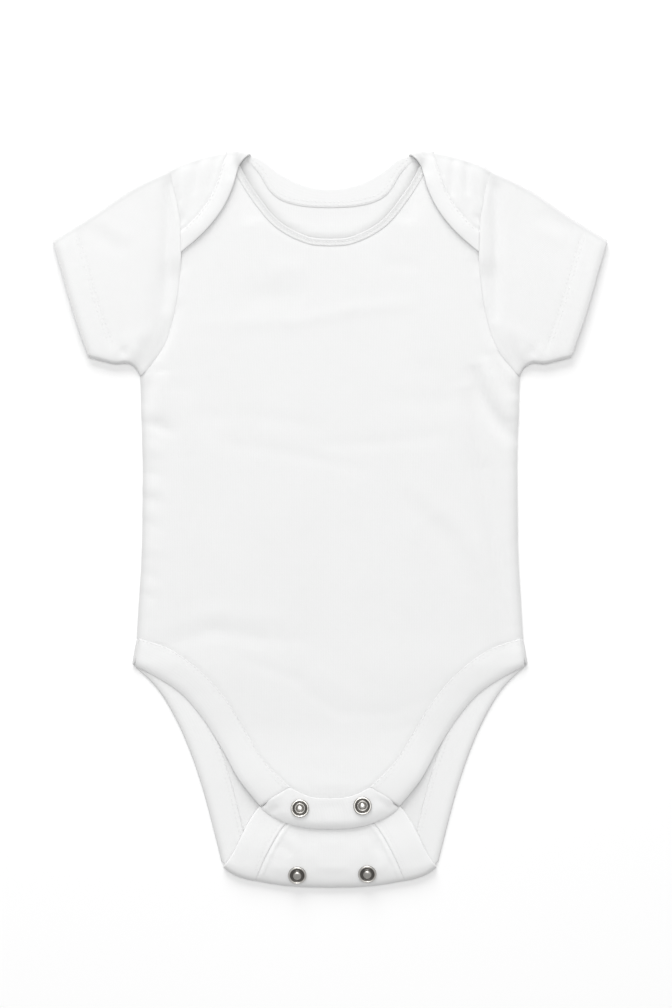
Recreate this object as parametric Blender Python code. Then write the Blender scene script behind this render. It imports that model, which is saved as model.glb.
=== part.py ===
"""Short-sleeved baby bodysuit with an envelope neck, laid flat on its back, front up.

The garment is built from the pieces a maker cuts and sews: front, back, two
sleeves, neck and leg bindings, the crotch band and ring snaps.  Every cloth
piece is a mid-surface of quads, worked out from half outlines and heights and
given its wall by a Solidify modifier.  The back is one cut: its shoulder flaps
fold forward over the front and its tongue folds up under the crotch band.

All sizes are millimetres; X is across the chest, Y points to the neck and Z is
up from the surface that the garment lies on.
"""

from collections import namedtuple
import math

import bmesh
import bpy
import numpy as np

MM = 0.001

# Driving dimensions ---------------------------------------------------------

PANEL_WALL = 1.0
BINDING_WALL = 1.2
SEAM_GAP = 0.3

SEAM_HEIGHT = 1.9
CROWN = 1.7
CROWN_EDGE_POWER = 4
ARMHOLE_DIP = 0.45
ARMHOLE_DIP_POWER = 6
ARMHOLE_BLEND = (70.0, 100.0)
LEG_BASE_LIFT = 0.35
LEG_BASE_BLEND = (60.0, 90.0)
SHOULDER_ROUND = 14.0
CROTCH_LIFT = 2.2
CROTCH_LIFT_BLEND = (115.0, 158.0)
FLAP_OVER_FRONT = 1.5

TONGUE_LEVEL = 2.65
TONGUE_SETTLE = 30.0
FOLD_INSIDE = 0.55
FOLD_SIDE_HEIGHT = 1.7
FOLD_LOW_DEPTH = 1.6
FOLD_HALF_SPAN = 62.0
FOLD_TOP_MIDDLE = 4.9
FOLD_TOP_CORNER = 3.4
FOLD_RISE_MIDDLE = 12.0
FOLD_RISE_CORNER = 4.0
FOLD_BEND_MIDDLE = 4.0
FOLD_BEND_CORNER = 1.5

NECK_BACK_LOW = 185.1
NECK_BACK_CURVE = 0.0112
NECK_BACK_HALF = 42.0
NECK_BACK_BINDING = 10.0
NECK_FRONT_BINDING = 4.2

SHOULDER_BEND = 1.4
SIDE_BEND = 0.85
SIDE_END_TRIM = 0.9

SLEEVE_TOP_BEND = 1.4
SLEEVE_LOW_BEND = 1.85
SLEEVE_UNDERARM_BEND = 0.9
SLEEVE_LOW_BEND_FULL = 0.4
SLEEVE_CROWN = 0.4
SLEEVE_HEAD_BLEND = 0.3

SNAP_SIDES = 24
HIDDEN_SNAP_SIDES = 16
SNAP_CLEARANCE = 0.2
SOCKET_DEPTH = 0.75
STUD_PLATE = 0.6
BACKING_RING_DEPTH = 0.6

# Rows and columns of the surfaces -------------------------------------------

CURVE_SAMPLES = 60
LEG_ROWS = 11
SIDE_ROWS = 8
ARMHOLE_ROWS = 14
SHOULDER_COLUMNS = 5
NECK_COLUMNS = 7
NECK_POINTS = 15
BEND_SPANS = 5
FOLD_LOWER_SPANS = 3
FOLD_UPPER_SPANS = 4
TONGUE_ROWS = 9
FLAP_ROWS = 6
BAND_ROWS = 4
CORNER_COLUMNS = 3
SLEEVE_RINGS = 8
SLEEVE_SPANS = 9
SLEEVE_BEND_SPANS = 4
STRIP_POINTS = 3
DISC_RINGS = 5
CLOTH_SHARP = math.radians(50)
METAL_SHARP = math.radians(40)

# Half outlines: distance from the centre line, height along the garment ------

Edge = namedtuple("Edge", "half_width height")
Band = namedtuple("Band", "outer_half outer_height inner_half inner_height")

ARMHOLE = [
    Edge(90.2, 195.2),
    Edge(86.8, 182.3),
    Edge(84.3, 170.0),
    Edge(83.4, 151.5),
    Edge(84.6, 132.4),
    Edge(87.9, 112.3),
    Edge(93.5, 96.0),
    Edge(99.7, 87.1),
    Edge(106.4, 79.8),
]
SIDE_SEAM = [
    Edge(106.4, 79.8),
    Edge(105.8, 60.8),
    Edge(104.9, 30.0),
    Edge(105.0, 10.4),
    Edge(105.6, -23.2),
    Edge(107.0, -45.6),
    Edge(108.3, -66.9),
]
SHOULDER_FOLD = [
    Edge(90.2, 195.2),
    Edge(86.2, 197.5),
    Edge(78.4, 200.8),
    Edge(72.0, 202.8),
    Edge(62.7, 205.0),
    Edge(58.2, 205.8),
    Edge(53.5, 206.4),
    Edge(49.0, 206.9),
    Edge(45.5, 206.6),
]
CROTCH_FOLD = [
    Edge(0.0, -207.2),
    Edge(22.4, -206.3),
    Edge(37.0, -204.2),
    Edge(45.0, -202.6),
    Edge(53.8, -199.6),
    Edge(60.2, -195.2),
]
FRONT_NECK_SEAM = [
    Edge(0.0, 152.3),
    Edge(11.2, 153.3),
    Edge(17.9, 155.6),
    Edge(22.4, 157.7),
    Edge(27.2, 160.5),
    Edge(31.6, 163.8),
    Edge(36.1, 168.3),
    Edge(40.9, 174.4),
    Edge(45.1, 180.2),
    Edge(48.6, 186.0),
    Edge(50.4, 192.0),
    Edge(50.9, 198.0),
    Edge(50.6, 204.6),
]
CROTCH_SEAM = [
    Edge(0.0, -156.4),
    Edge(9.0, -155.8),
    Edge(16.0, -153.6),
    Edge(21.8, -150.6),
    Edge(30.2, -155.8),
    Edge(38.7, -161.3),
]
CROTCH_HEM = [
    Edge(0.0, -173.9),
    Edge(12.0, -173.4),
    Edge(22.4, -171.1),
    Edge(32.0, -167.3),
    Edge(38.2, -165.6),
]
SLEEVE_TOP_LINE = [
    Edge(90.2, 195.2),
    Edge(110.0, 185.6),
    Edge(132.0, 170.8),
    Edge(155.4, 156.0),
]
SLEEVE_HEM = [
    Edge(155.4, 156.0),
    Edge(150.4, 139.0),
    Edge(143.5, 115.0),
    Edge(135.0, 90.2),
]
SLEEVE_LOW_LINE = [
    Edge(106.4, 79.8),
    Edge(109.5, 84.6),
    Edge(113.2, 86.8),
    Edge(120.5, 86.6),
    Edge(129.0, 88.6),
    Edge(135.0, 90.2),
]

# Leg bindings: outer edge and seam, from the crotch band round to the tongue --

LEG_FRONT = [
    Band(38.9, -161.3, 21.8, -150.6),
    Band(51.0, -146.2, 36.0, -136.5),
    Band(60.3, -129.6, 46.3, -120.3),
    Band(71.4, -112.3, 58.5, -100.6),
    Band(83.2, -98.6, 72.5, -85.2),
    Band(98.3, -88.5, 90.5, -72.6),
    Band(110.8, -82.2, 108.3, -66.9),
]
LEG_BACK = [
    Band(110.8, -82.2, 108.3, -66.9),
    Band(98.8, -93.2, 88.0, -80.5),
    Band(85.8, -114.0, 71.5, -105.0),
    Band(79.0, -129.6, 63.3, -123.5),
    Band(71.8, -150.6, 55.8, -146.0),
    Band(65.4, -174.4, 49.0, -172.5),
    Band(60.2, -195.2, 41.5, -203.4),
]
TONGUE = [
    Band(60.2, -195.2, 41.5, -203.4),
    Band(54.6, -186.8, 37.3, -192.5),
    Band(49.3, -178.9, 33.2, -184.3),
    Band(44.6, -170.6, 28.0, -175.4),
    Band(38.9, -161.3, 22.0, -167.6),
    Band(31.0, -154.2, 15.6, -159.8),
    Band(24.0, -150.0, 11.0, -149.0),
]
FLAP = [
    Band(45.5, 206.6, 58.2, 205.8),
    Band(48.4, 201.3, 59.0, 201.2),
    Band(50.8, 197.4, 59.9, 198.6),
    Band(52.4, 192.3, 61.3, 194.9),
    Band(54.0, 186.6, 62.8, 189.7),
    Band(59.7, 174.1, 67.8, 178.8),
    Band(66.9, 164.2, 74.0, 170.2),
    Band(75.3, 155.8, 80.6, 163.4),
    Band(83.25, 149.2, 83.45, 161.0),
]

SnapPlace = namedtuple("SnapPlace", "name x y")

CLOSED_SNAPS = [
    SnapPlace("left", -16.8, -162.0),
    SnapPlace("right", 18.2, -160.6),
]
OPEN_SNAPS = [
    SnapPlace("left", -18.3, -199.6),
    SnapPlace("right", 20.9, -198.9),
]
OPEN_SNAP_TILT = math.radians(13)

Turn = namedtuple("Turn", "radius height")

CAP_PROFILE = [
    Turn(0.0, 0.0),
    Turn(4.9, 0.0),
    Turn(5.12, 0.35),
    Turn(4.7, 0.9),
    Turn(4.1, 1.05),
    Turn(3.5, 0.75),
    Turn(3.1, 0.35),
    Turn(2.3, 0.75),
    Turn(1.2, 1.0),
    Turn(0.0, 1.05),
]
STUD_PROFILE = [
    Turn(0.0, 0.0),
    Turn(4.9, 0.0),
    Turn(5.12, 0.35),
    Turn(4.6, 0.95),
    Turn(4.0, 1.0),
    Turn(3.4, 0.4),
    Turn(2.0, 0.4),
    Turn(2.1, 1.2),
    Turn(1.5, 1.7),
    Turn(0.0, 1.75),
]
BACKING_RING = (2.6, 4.6)


# Curves and blends -----------------------------------------------------------

def smoothstep(value, start, end):
    """Soft step from 0 at start to 1 at end."""
    t = np.clip((value - start) / (end - start), 0.0, 1.0)
    return t * t * (3.0 - 2.0 * t)


def quarter_round(value):
    """Quarter circle: steep at 0, level from 1 on."""
    t = np.clip(value, 0.0, 1.0)
    return np.sqrt(np.clip(1.0 - (1.0 - t) ** 2, 0.0, 1.0))


def arc_length(line):
    """Distance along a curve to each of its points."""
    steps = np.linalg.norm(np.diff(line, axis=0), axis=1)
    return np.concatenate([[0.0], np.cumsum(steps)])


def smooth_line(points, count):
    """Count points evenly spaced on a cubic curve through the given points."""
    knots = np.array(points, dtype=float)
    chord = arc_length(knots)
    slope = np.gradient(knots, chord, axis=0)
    fine = np.linspace(0.0, chord[-1], CURVE_SAMPLES * len(knots))
    cell = np.clip(np.searchsorted(chord, fine, side="right") - 1, 0, len(knots) - 2)
    span = (chord[cell + 1] - chord[cell])[:, None]
    t = (fine - chord[cell])[:, None] / span
    curve = (
        (2 * t**3 - 3 * t**2 + 1) * knots[cell]
        + (t**3 - 2 * t**2 + t) * span * slope[cell]
        + (3 * t**2 - 2 * t**3) * knots[cell + 1]
        + (t**3 - t**2) * span * slope[cell + 1]
    )
    return spaced(curve, np.linspace(0.0, 1.0, count))


def spaced(line, shares):
    """Points of a curve at the given shares of its length."""
    length = arc_length(line)
    wanted = np.asarray(shares) * length[-1]
    return np.stack([np.interp(wanted, length, line[:, k]) for k in range(line.shape[1])], axis=1)


def inset(line, distance):
    """Move a plan curve sideways: positive to the left of its direction."""
    step = np.gradient(line, axis=0)
    normal = np.stack([-step[:, 1], step[:, 0]], axis=1)
    normal /= np.linalg.norm(normal, axis=1)[:, None]
    return line + normal * distance


def mirrored(line):
    """The same plan curve on the garment's other side."""
    return line * np.array([-1.0, 1.0])


def across(half):
    """A whole curve from its right half, which starts on the centre line."""
    return np.concatenate([mirrored(half[:0:-1]), half])


def coons(low, high, left, right):
    """Plan grid between four border curves: rows from low to high."""
    u = np.linspace(0.0, 1.0, len(low))[None, :, None]
    v = np.linspace(0.0, 1.0, len(left))[:, None, None]
    ruled = (1 - v) * low[None] + v * high[None] + (1 - u) * left[:, None] + u * right[:, None]
    corners = (
        (1 - u) * (1 - v) * low[0]
        + u * (1 - v) * low[-1]
        + (1 - u) * v * high[0]
        + u * v * high[-1]
    )
    return ruled - corners


# Heights of the layers --------------------------------------------------------

OUTLINE_HALVES = (
    [(edge.height, edge.half_width) for edge in CROTCH_HEM[-1:]]
    + [(band.outer_height, band.outer_half) for band in LEG_FRONT]
    + [(edge.height, edge.half_width) for edge in SIDE_SEAM[::-1]]
    + [(edge.height, edge.half_width) for edge in ARMHOLE[-2::-1]]
)


def half_width(y):
    """Half the garment's body width at a height."""
    heights, halves = np.array(OUTLINE_HALVES).T
    return np.interp(y, heights, halves)


def shoulder_fold_height(x):
    """Height of the shoulder fold at a distance from the centre line."""
    halves, heights = np.array(SHOULDER_FOLD[::-1]).T
    return np.interp(np.abs(x), halves, heights)


def crotch_fold_height(x):
    """Height of the crotch fold at a distance from the centre line."""
    halves, heights = smooth_line(CROTCH_FOLD, CURVE_SAMPLES).T
    return np.interp(np.abs(x), halves, heights)


def towards_corner(x, middle, corner):
    """A size that changes from the middle of the crotch fold to its corners."""
    ratio = np.clip(np.abs(x) / FOLD_HALF_SPAN, 0.0, 1.0)
    return middle + (corner - middle) * ratio**2


def front_level(x, y):
    """Mid-surface of the front: low at its side seams, raised at the closed snaps."""
    ratio = np.clip(np.abs(x) / half_width(y), 0.0, 1.0)
    side = 1.0 - ratio**CROWN_EDGE_POWER
    armhole = 1.0 - ARMHOLE_DIP * ratio**ARMHOLE_DIP_POWER
    above = smoothstep(y, *ARMHOLE_BLEND)
    crown = CROWN * (side * (1 - above) + armhole * above)
    crown = crown * quarter_round((shoulder_fold_height(x) - y) / SHOULDER_ROUND)
    base = SEAM_HEIGHT + LEG_BASE_LIFT * smoothstep(-y, *LEG_BASE_BLEND)
    return base + crown + CROTCH_LIFT * smoothstep(-y, *CROTCH_LIFT_BLEND)


def flap_level(x, y):
    """Mid-surface of a shoulder flap, which lies on the front."""
    return front_level(x, y) + FLAP_OVER_FRONT


def tongue_level(x, y):
    """Mid-surface of the tongue: round at the fold, then level on the back."""
    depth = y - crotch_fold_height(x) - FOLD_INSIDE
    top = towards_corner(x, FOLD_TOP_MIDDLE, FOLD_TOP_CORNER)
    rise = towards_corner(x, FOLD_RISE_MIDDLE, FOLD_RISE_CORNER)
    fold = FOLD_SIDE_HEIGHT + (top - FOLD_SIDE_HEIGHT) * quarter_round(depth / rise)
    settle = smoothstep((depth - rise) / (TONGUE_SETTLE - rise), 0.0, 1.0)
    return fold + (TONGUE_LEVEL - top) * settle


def raised(plan, level):
    """Stand a plan grid at the height that level gives for each point."""
    height = level(plan[..., 0], plan[..., 1])
    return np.concatenate([plan, height[..., None]], axis=-1)


def at_height(plan, height):
    """Stand a plan grid at one height."""
    return np.concatenate([plan, np.full(plan.shape[:-1] + (1,), height)], axis=-1)


def half_bend(line, inward, radius, low, level):
    """Rows round a fold of the plan curve, from the low layer to the upper one.

    The mid-surface is half an ellipse: it leaves the low layer, touches the
    fold half a wall inside it, and meets the upper layer at level.
    """
    inner_line = line + inward * (FOLD_INSIDE + radius)
    top = level(inner_line[:, 0], inner_line[:, 1])
    angle = np.linspace(-math.pi / 2, math.pi / 2, BEND_SPANS + 1)[:, None]
    depth = FOLD_INSIDE + radius * (1 - np.cos(angle))
    plan = line[None] + inward * depth[..., None]
    height = (low + top) / 2 + (top - low) / 2 * np.sin(angle)
    return np.concatenate([plan, height[..., None]], axis=-1)


def crotch_bend(halves, low):
    """Rows round the crotch fold at the given distances from the centre line."""
    angle = np.linspace(0.0, math.pi / 2, FOLD_LOWER_SPANS + 1)[:, None]
    lower_depth = FOLD_LOW_DEPTH * (1 - np.sin(angle)) + 0.0 * halves
    lower_height = FOLD_SIDE_HEIGHT - (FOLD_SIDE_HEIGHT - low) * np.cos(angle) + 0.0 * halves
    share = np.linspace(0.0, 1.0, FOLD_UPPER_SPANS + 1)[1:, None]
    upper_depth = towards_corner(halves, FOLD_BEND_MIDDLE, FOLD_BEND_CORNER) * share**2
    fold = crotch_fold_height(halves) + FOLD_INSIDE
    upper_height = tongue_level(halves, fold + upper_depth)
    depth = np.concatenate([lower_depth, upper_depth])
    height = np.concatenate([lower_height, upper_height])
    return np.stack([halves + 0.0 * depth, fold + depth, height], axis=-1)


# Meshes -----------------------------------------------------------------------

def grid_faces(rows, columns, closed):
    """Quads of a grid whose columns may close into a ring."""
    spans = columns if closed else columns - 1
    row, column = np.meshgrid(np.arange(rows - 1), np.arange(spans), indexing="ij")
    start = row * columns + column
    side = row * columns + (column + 1) % columns
    return np.stack([start, side, side + columns, start + columns], axis=-1).reshape(-1, 4)


def new_object(name, shape, material, sharp_angle):
    """Link a smooth-shaded object made from a bmesh."""
    bmesh.ops.remove_doubles(shape, verts=shape.verts, dist=0.00002)
    bmesh.ops.recalc_face_normals(shape, faces=shape.faces)
    mesh = bpy.data.meshes.new(name)
    shape.to_mesh(mesh)
    shape.free()
    mesh.materials.append(material)
    mesh.shade_smooth()
    mesh.set_sharp_from_angle(angle=sharp_angle)
    item = bpy.data.objects.new(name, mesh)
    bpy.context.collection.objects.link(item)
    return item


def cloth_piece(name, patches, wall, material, closed=False):
    """One cloth solid: patches of mid-surface joined at their common borders."""
    shape = bmesh.new()
    for patch in patches:
        corners = [shape.verts.new(point * MM) for point in patch.reshape(-1, 3)]
        for quad in grid_faces(patch.shape[0], patch.shape[1], closed):
            shape.faces.new([corners[index] for index in quad])
    item = new_object(name, shape, material, CLOTH_SHARP)
    solidify = item.modifiers.new("wall", "SOLIDIFY")
    solidify.thickness = wall * MM
    solidify.offset = 0.0
    return item


def turned_piece(name, section, closed, sides, material):
    """Solid of revolution about Z; an open section starts and ends on the axis."""
    shape = bmesh.new()
    corners = [shape.verts.new((turn.radius * MM, 0.0, turn.height * MM)) for turn in section]
    ends = corners[1:] + corners[:1] if closed else corners[1:]
    edges = [shape.edges.new(pair) for pair in zip(corners, ends)]
    bmesh.ops.spin(
        shape,
        geom=corners + edges,
        axis=(0, 0, 1),
        cent=(0, 0, 0),
        angle=2 * math.pi,
        steps=sides,
        use_duplicate=False,
    )
    return new_object(name, shape, material, METAL_SHARP)


def new_material(name, colour, roughness, metallic=0.0):
    """Principled material with one plain colour."""
    material = bpy.data.materials.new(name)
    material.use_nodes = True
    shader = material.node_tree.nodes["Principled BSDF"]
    shader.inputs["Base Color"].default_value = (*colour, 1.0)
    shader.inputs["Roughness"].default_value = roughness
    shader.inputs["Metallic"].default_value = metallic
    return material


# Seams shared by neighbouring pieces -------------------------------------------

def outer_line(bands, count):
    """Free edge of a binding."""
    return smooth_line([(band.outer_half, band.outer_height) for band in bands], count)


def inner_line(bands, count):
    """Seam between a binding and its panel."""
    return smooth_line([(band.inner_half, band.inner_height) for band in bands], count)


def back_neck_edge():
    """Half of the back neck's free edge, a parabola up to the shoulder fold."""
    half = np.linspace(0.0, NECK_BACK_HALF, NECK_COLUMNS)
    edge = np.stack([half, NECK_BACK_LOW + NECK_BACK_CURVE * half**2], axis=1)
    apex = SHOULDER_FOLD[-1]
    tip = (apex.half_width, apex.height - FOLD_INSIDE - SHOULDER_BEND)
    return smooth_line([*edge, tip], NECK_COLUMNS + 1)


def back_neck_seam():
    """Half of the seam under the back neck binding, up to the shoulder fold."""
    half = np.linspace(0.0, NECK_BACK_HALF, NECK_COLUMNS)
    slope = 2 * NECK_BACK_CURVE * half
    run = np.hypot(1.0, slope)
    across_x = half + NECK_BACK_BINDING * slope / run
    height = NECK_BACK_LOW + NECK_BACK_CURVE * half**2 - NECK_BACK_BINDING / run
    fold = FLAP[0]
    tip = (fold.inner_half, fold.inner_height - FOLD_INSIDE - SHOULDER_BEND)
    return smooth_line([*np.stack([across_x, height], axis=1), tip], NECK_COLUMNS + 1)


def armhole_line(gap):
    """Armhole seam from the underarm up, moved sideways by a gap."""
    return inset(smooth_line(ARMHOLE[::-1], CURVE_SAMPLES), gap)


def body_side(leg, armhole):
    """Right-hand border of a body panel: leg binding, side seam, armhole."""
    leg_line = inset(inner_line(leg, LEG_ROWS), SEAM_GAP / 2)
    side_line = inset(smooth_line(SIDE_SEAM[::-1], SIDE_ROWS), SEAM_GAP / 2)
    leg_line[-1, 0] = side_line[0, 0]
    return np.concatenate([leg_line, side_line[1:], armhole[1:]])


def trimmed_top(line, trim):
    """The armhole border, stopped a trim below the shoulder fold."""
    room = shoulder_fold_height(line[:, 0]) - trim - line[:, 1]
    half = np.interp(0.0, room[::-1], line[::-1, 0])
    return np.concatenate([line[room > 0], [(half, shoulder_fold_height(half) - trim)]])


def shoulder_line(start_half, top_trim, armhole_end):
    """Row under the shoulder fold, from the neck side to the armhole."""
    halves = np.linspace(start_half, armhole_end[0], SHOULDER_COLUMNS + 1)
    return np.stack([halves, shoulder_fold_height(halves) - top_trim], axis=1)


# Front --------------------------------------------------------------------------

def build_front(material):
    """Front panel, from the crotch seam to its shoulders under the flaps."""
    trim = FOLD_INSIDE + SHOULDER_BEND - SEAM_GAP
    neck = inset(smooth_line(FRONT_NECK_SEAM, NECK_POINTS), -SEAM_GAP / 2)
    armhole = trimmed_top(armhole_line(SEAM_GAP / 2), trim)
    yoke = neck[NECK_COLUMNS, 1]
    below = spaced(armhole[armhole[:, 1] < yoke], np.linspace(0.0, 1.0, ARMHOLE_ROWS))
    right = body_side(LEG_FRONT, below)
    yoke_line = np.linspace(neck[NECK_COLUMNS], right[-1], SHOULDER_COLUMNS + 1)
    half_top = np.concatenate([neck[:NECK_COLUMNS], yoke_line])
    crotch = smooth_line(CROTCH_SEAM[:4], len(half_top)) + np.array([0.0, SEAM_GAP / 2])
    crotch[-1] = right[0]
    body = coons(across(crotch), across(half_top), mirrored(right), right)
    above = np.concatenate([[right[-1]], armhole[armhole[:, 1] > yoke]])
    above = spaced(above, np.linspace(0.0, 1.0, NECK_POINTS - NECK_COLUMNS))
    shoulder = shoulder_line(neck[-1, 0], trim, above[-1])
    neck_side = neck[NECK_COLUMNS:]
    neck_side[-1] = shoulder[0]
    strap = coons(yoke_line, shoulder, neck_side, above)
    patches = [raised(plan, front_level) for plan in (body, strap, mirrored(strap))]
    return cloth_piece("front_panel", patches, PANEL_WALL, material)


def build_crotch_band(material):
    """Doubled band on the front's end, which carries the upper snaps."""
    seam = inset(smooth_line(CROTCH_SEAM[:4], NECK_COLUMNS), -SEAM_GAP / 2)
    corner = inset(smooth_line(CROTCH_SEAM[3:], CORNER_COLUMNS + 1), -SEAM_GAP / 2)
    top = np.concatenate([seam[:-1], corner])
    hem = smooth_line(CROTCH_HEM, len(top))
    right = np.linspace(hem[-1], top[-1], BAND_ROWS)
    plan = coons(across(hem), across(top), mirrored(right), right)
    return cloth_piece("crotch_band", [raised(plan, front_level)], BINDING_WALL, material)


def build_front_neck_binding(material):
    """Narrow binding along the front neckline, up to the shoulder fold."""
    seam = smooth_line(FRONT_NECK_SEAM, NECK_POINTS)
    seam[-1, 1] = shoulder_fold_height(seam[-1, 0]) - FOLD_INSIDE - SHOULDER_BEND + SEAM_GAP
    seam_side = inset(seam, SEAM_GAP / 2)
    edge = inset(seam, NECK_FRONT_BINDING)
    plan = np.stack([across(seam_side), across(edge)], axis=0)
    return cloth_piece("neck_binding_front", [raised(plan, front_level)], BINDING_WALL, material)


# Back ---------------------------------------------------------------------------

def build_back(material):
    """Back panel with its shoulder flaps and the tongue that folds up in front."""
    wall = PANEL_WALL / 2
    armhole = trimmed_top(armhole_line(SEAM_GAP / 2), FOLD_INSIDE + SHOULDER_BEND)
    rows = spaced(armhole, np.linspace(0.0, 1.0, ARMHOLE_ROWS))
    right = body_side(LEG_BACK[::-1], rows)
    neck = inset(back_neck_seam(), -SEAM_GAP / 2)
    shoulder = shoulder_line(neck[-1, 0], FOLD_INSIDE + SHOULDER_BEND, right[-1])
    half_top = np.concatenate([neck[:-1], shoulder])
    halves = np.linspace(0.0, TONGUE[0].inner_half - SEAM_GAP / 2, len(half_top))
    bend = crotch_bend(across(np.stack([halves, halves], axis=1))[:, 0], wall)
    right[0] = bend[0, -1, :2]
    body = coons(bend[0, :, :2], across(half_top), mirrored(right), right)
    patches = [at_height(body, wall), bend, tongue_patch(bend[-1, :, :2])]
    for side in (-1.0, 1.0):
        patches.extend(flap_patches(shoulder, wall, side))
    return cloth_piece("back_panel", patches, PANEL_WALL, material)


def tongue_patch(start):
    """The tongue above its fold, up to the end hidden under the crotch band."""
    right = inset(inner_line(TONGUE, TONGUE_ROWS + 1), SEAM_GAP / 2)
    right[0] = start[-1]
    end = np.linspace(mirrored(right[-1]), right[-1], len(start))
    return raised(coons(start, end, mirrored(right), right), tongue_level)


def flap_patches(shoulder, low, side):
    """The half circle at a shoulder fold and the flap lying on the front."""
    fold = np.stack([shoulder[:, 0], shoulder_fold_height(shoulder[:, 0])], axis=1)
    bend = half_bend(fold, np.array([0.0, -1.0]), SHOULDER_BEND, low, flap_level)
    start = bend[-1, :, :2]
    seam = inset(inner_line(FLAP[1:], SHOULDER_COLUMNS + 1), SEAM_GAP / 2)
    armhole = armhole_line(SEAM_GAP / 2)
    heights = np.linspace(start[-1, 1], seam[-1, 1], FLAP_ROWS + 1)
    border = np.stack([np.interp(heights, armhole[:, 1], armhole[:, 0]), heights], axis=1)
    border[0] = start[-1]
    seam[-1] = border[-1]
    apex = np.linspace(start[0], seam[0], FLAP_ROWS + 1)
    flap = raised(coons(start, seam, apex, border), flap_level)
    turn = np.array([side, 1.0, 1.0])
    return [bend * turn, flap * turn]


def build_back_neck_binding(material):
    """Binding from one flap's foot, over the shoulder, round the back neck and down."""
    low = BINDING_WALL / 2
    seam = inset(inner_line(FLAP[1:], SHOULDER_COLUMNS + 1), -SEAM_GAP / 2)
    edge = outer_line(FLAP[1:], SHOULDER_COLUMNS + 1)
    flap = raised(strip(edge, seam)[::-1], flap_level)
    fold_halves = np.linspace(FLAP[0].outer_half, FLAP[0].inner_half - SEAM_GAP / 2, STRIP_POINTS)
    fold = np.stack([fold_halves, shoulder_fold_height(fold_halves)], axis=1)
    bend = half_bend(fold, np.array([0.0, -1.0]), SHOULDER_BEND, low, flap_level)[::-1]
    neck = strip(back_neck_edge(), inset(back_neck_seam(), SEAM_GAP / 2))[::-1]
    half = np.concatenate([flap, bend, at_height(neck[1:], low)])
    whole = np.concatenate([half, half[-2::-1] * np.array([-1.0, 1.0, 1.0])])
    return cloth_piece("neck_binding_back", [whole], BINDING_WALL, material)


# Bindings -------------------------------------------------------------------------

def strip(edge, seam):
    """Plan grid across a binding: a row for each point of its edge and seam."""
    share = np.linspace(0.0, 1.0, STRIP_POINTS)[None, :, None]
    return edge[:, None] * (1 - share) + seam[:, None] * share


def build_leg_binding(name, side, material):
    """Leg binding: front edge, round the side, back edge, round the crotch fold."""
    low = BINDING_WALL / 2
    gap = SEAM_GAP / 2
    front = strip(outer_line(LEG_FRONT, LEG_ROWS), inset(inner_line(LEG_FRONT, LEG_ROWS), -gap))
    front[0] += np.array([0.0, gap * 2])
    side_line = np.linspace(
        (LEG_FRONT[-1].outer_half, LEG_FRONT[-1].outer_height),
        (LEG_FRONT[-1].inner_half, LEG_FRONT[-1].inner_height - SIDE_END_TRIM),
        STRIP_POINTS,
    )
    side_bend = half_bend(side_line, np.array([-1.0, 0.0]), SIDE_BEND, low, front_level)[::-1]
    back = strip(outer_line(LEG_BACK, LEG_ROWS), inset(inner_line(LEG_BACK, LEG_ROWS), gap))
    fold_halves = np.linspace(TONGUE[0].outer_half, TONGUE[0].inner_half + gap, STRIP_POINTS)
    fold_bend = crotch_bend(fold_halves, low)
    tongue = strip(outer_line(TONGUE, TONGUE_ROWS + 1), inset(inner_line(TONGUE, TONGUE_ROWS + 1), -gap))
    surface = np.concatenate(
        [
            raised(front[:-1], front_level),
            side_bend,
            at_height(back[1:-1], low),
            fold_bend,
            raised(tongue[1:], tongue_level),
        ]
    )
    return cloth_piece(name, [surface * np.array([side, 1.0, 1.0])], BINDING_WALL, material)


# Sleeves --------------------------------------------------------------------------

def sleeve_plan(shares, along, head, hem, top, low):
    """Plan of one sleeve section: shares run from its top fold to its underarm."""
    chord_head = head[0] + (head[-1] - head[0]) * shares[:, None]
    chord_hem = hem[0] + (hem[-1] - hem[0]) * shares[:, None]
    bow_head = spaced(head, shares) - chord_head
    bow_hem = spaced(hem, shares) - chord_hem
    straight = top * (1 - shares[:, None]) + low * shares[:, None]
    return straight + (1 - along) * bow_head + along * bow_hem


def sleeve_head_level(x, y):
    """Level of the body at the armhole: the flap where it covers the front."""
    flap_foot = FLAP[-1]
    covered = smoothstep(y, flap_foot.outer_height, flap_foot.inner_height)
    return front_level(x, y) + FLAP_OVER_FRONT * covered


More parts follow.
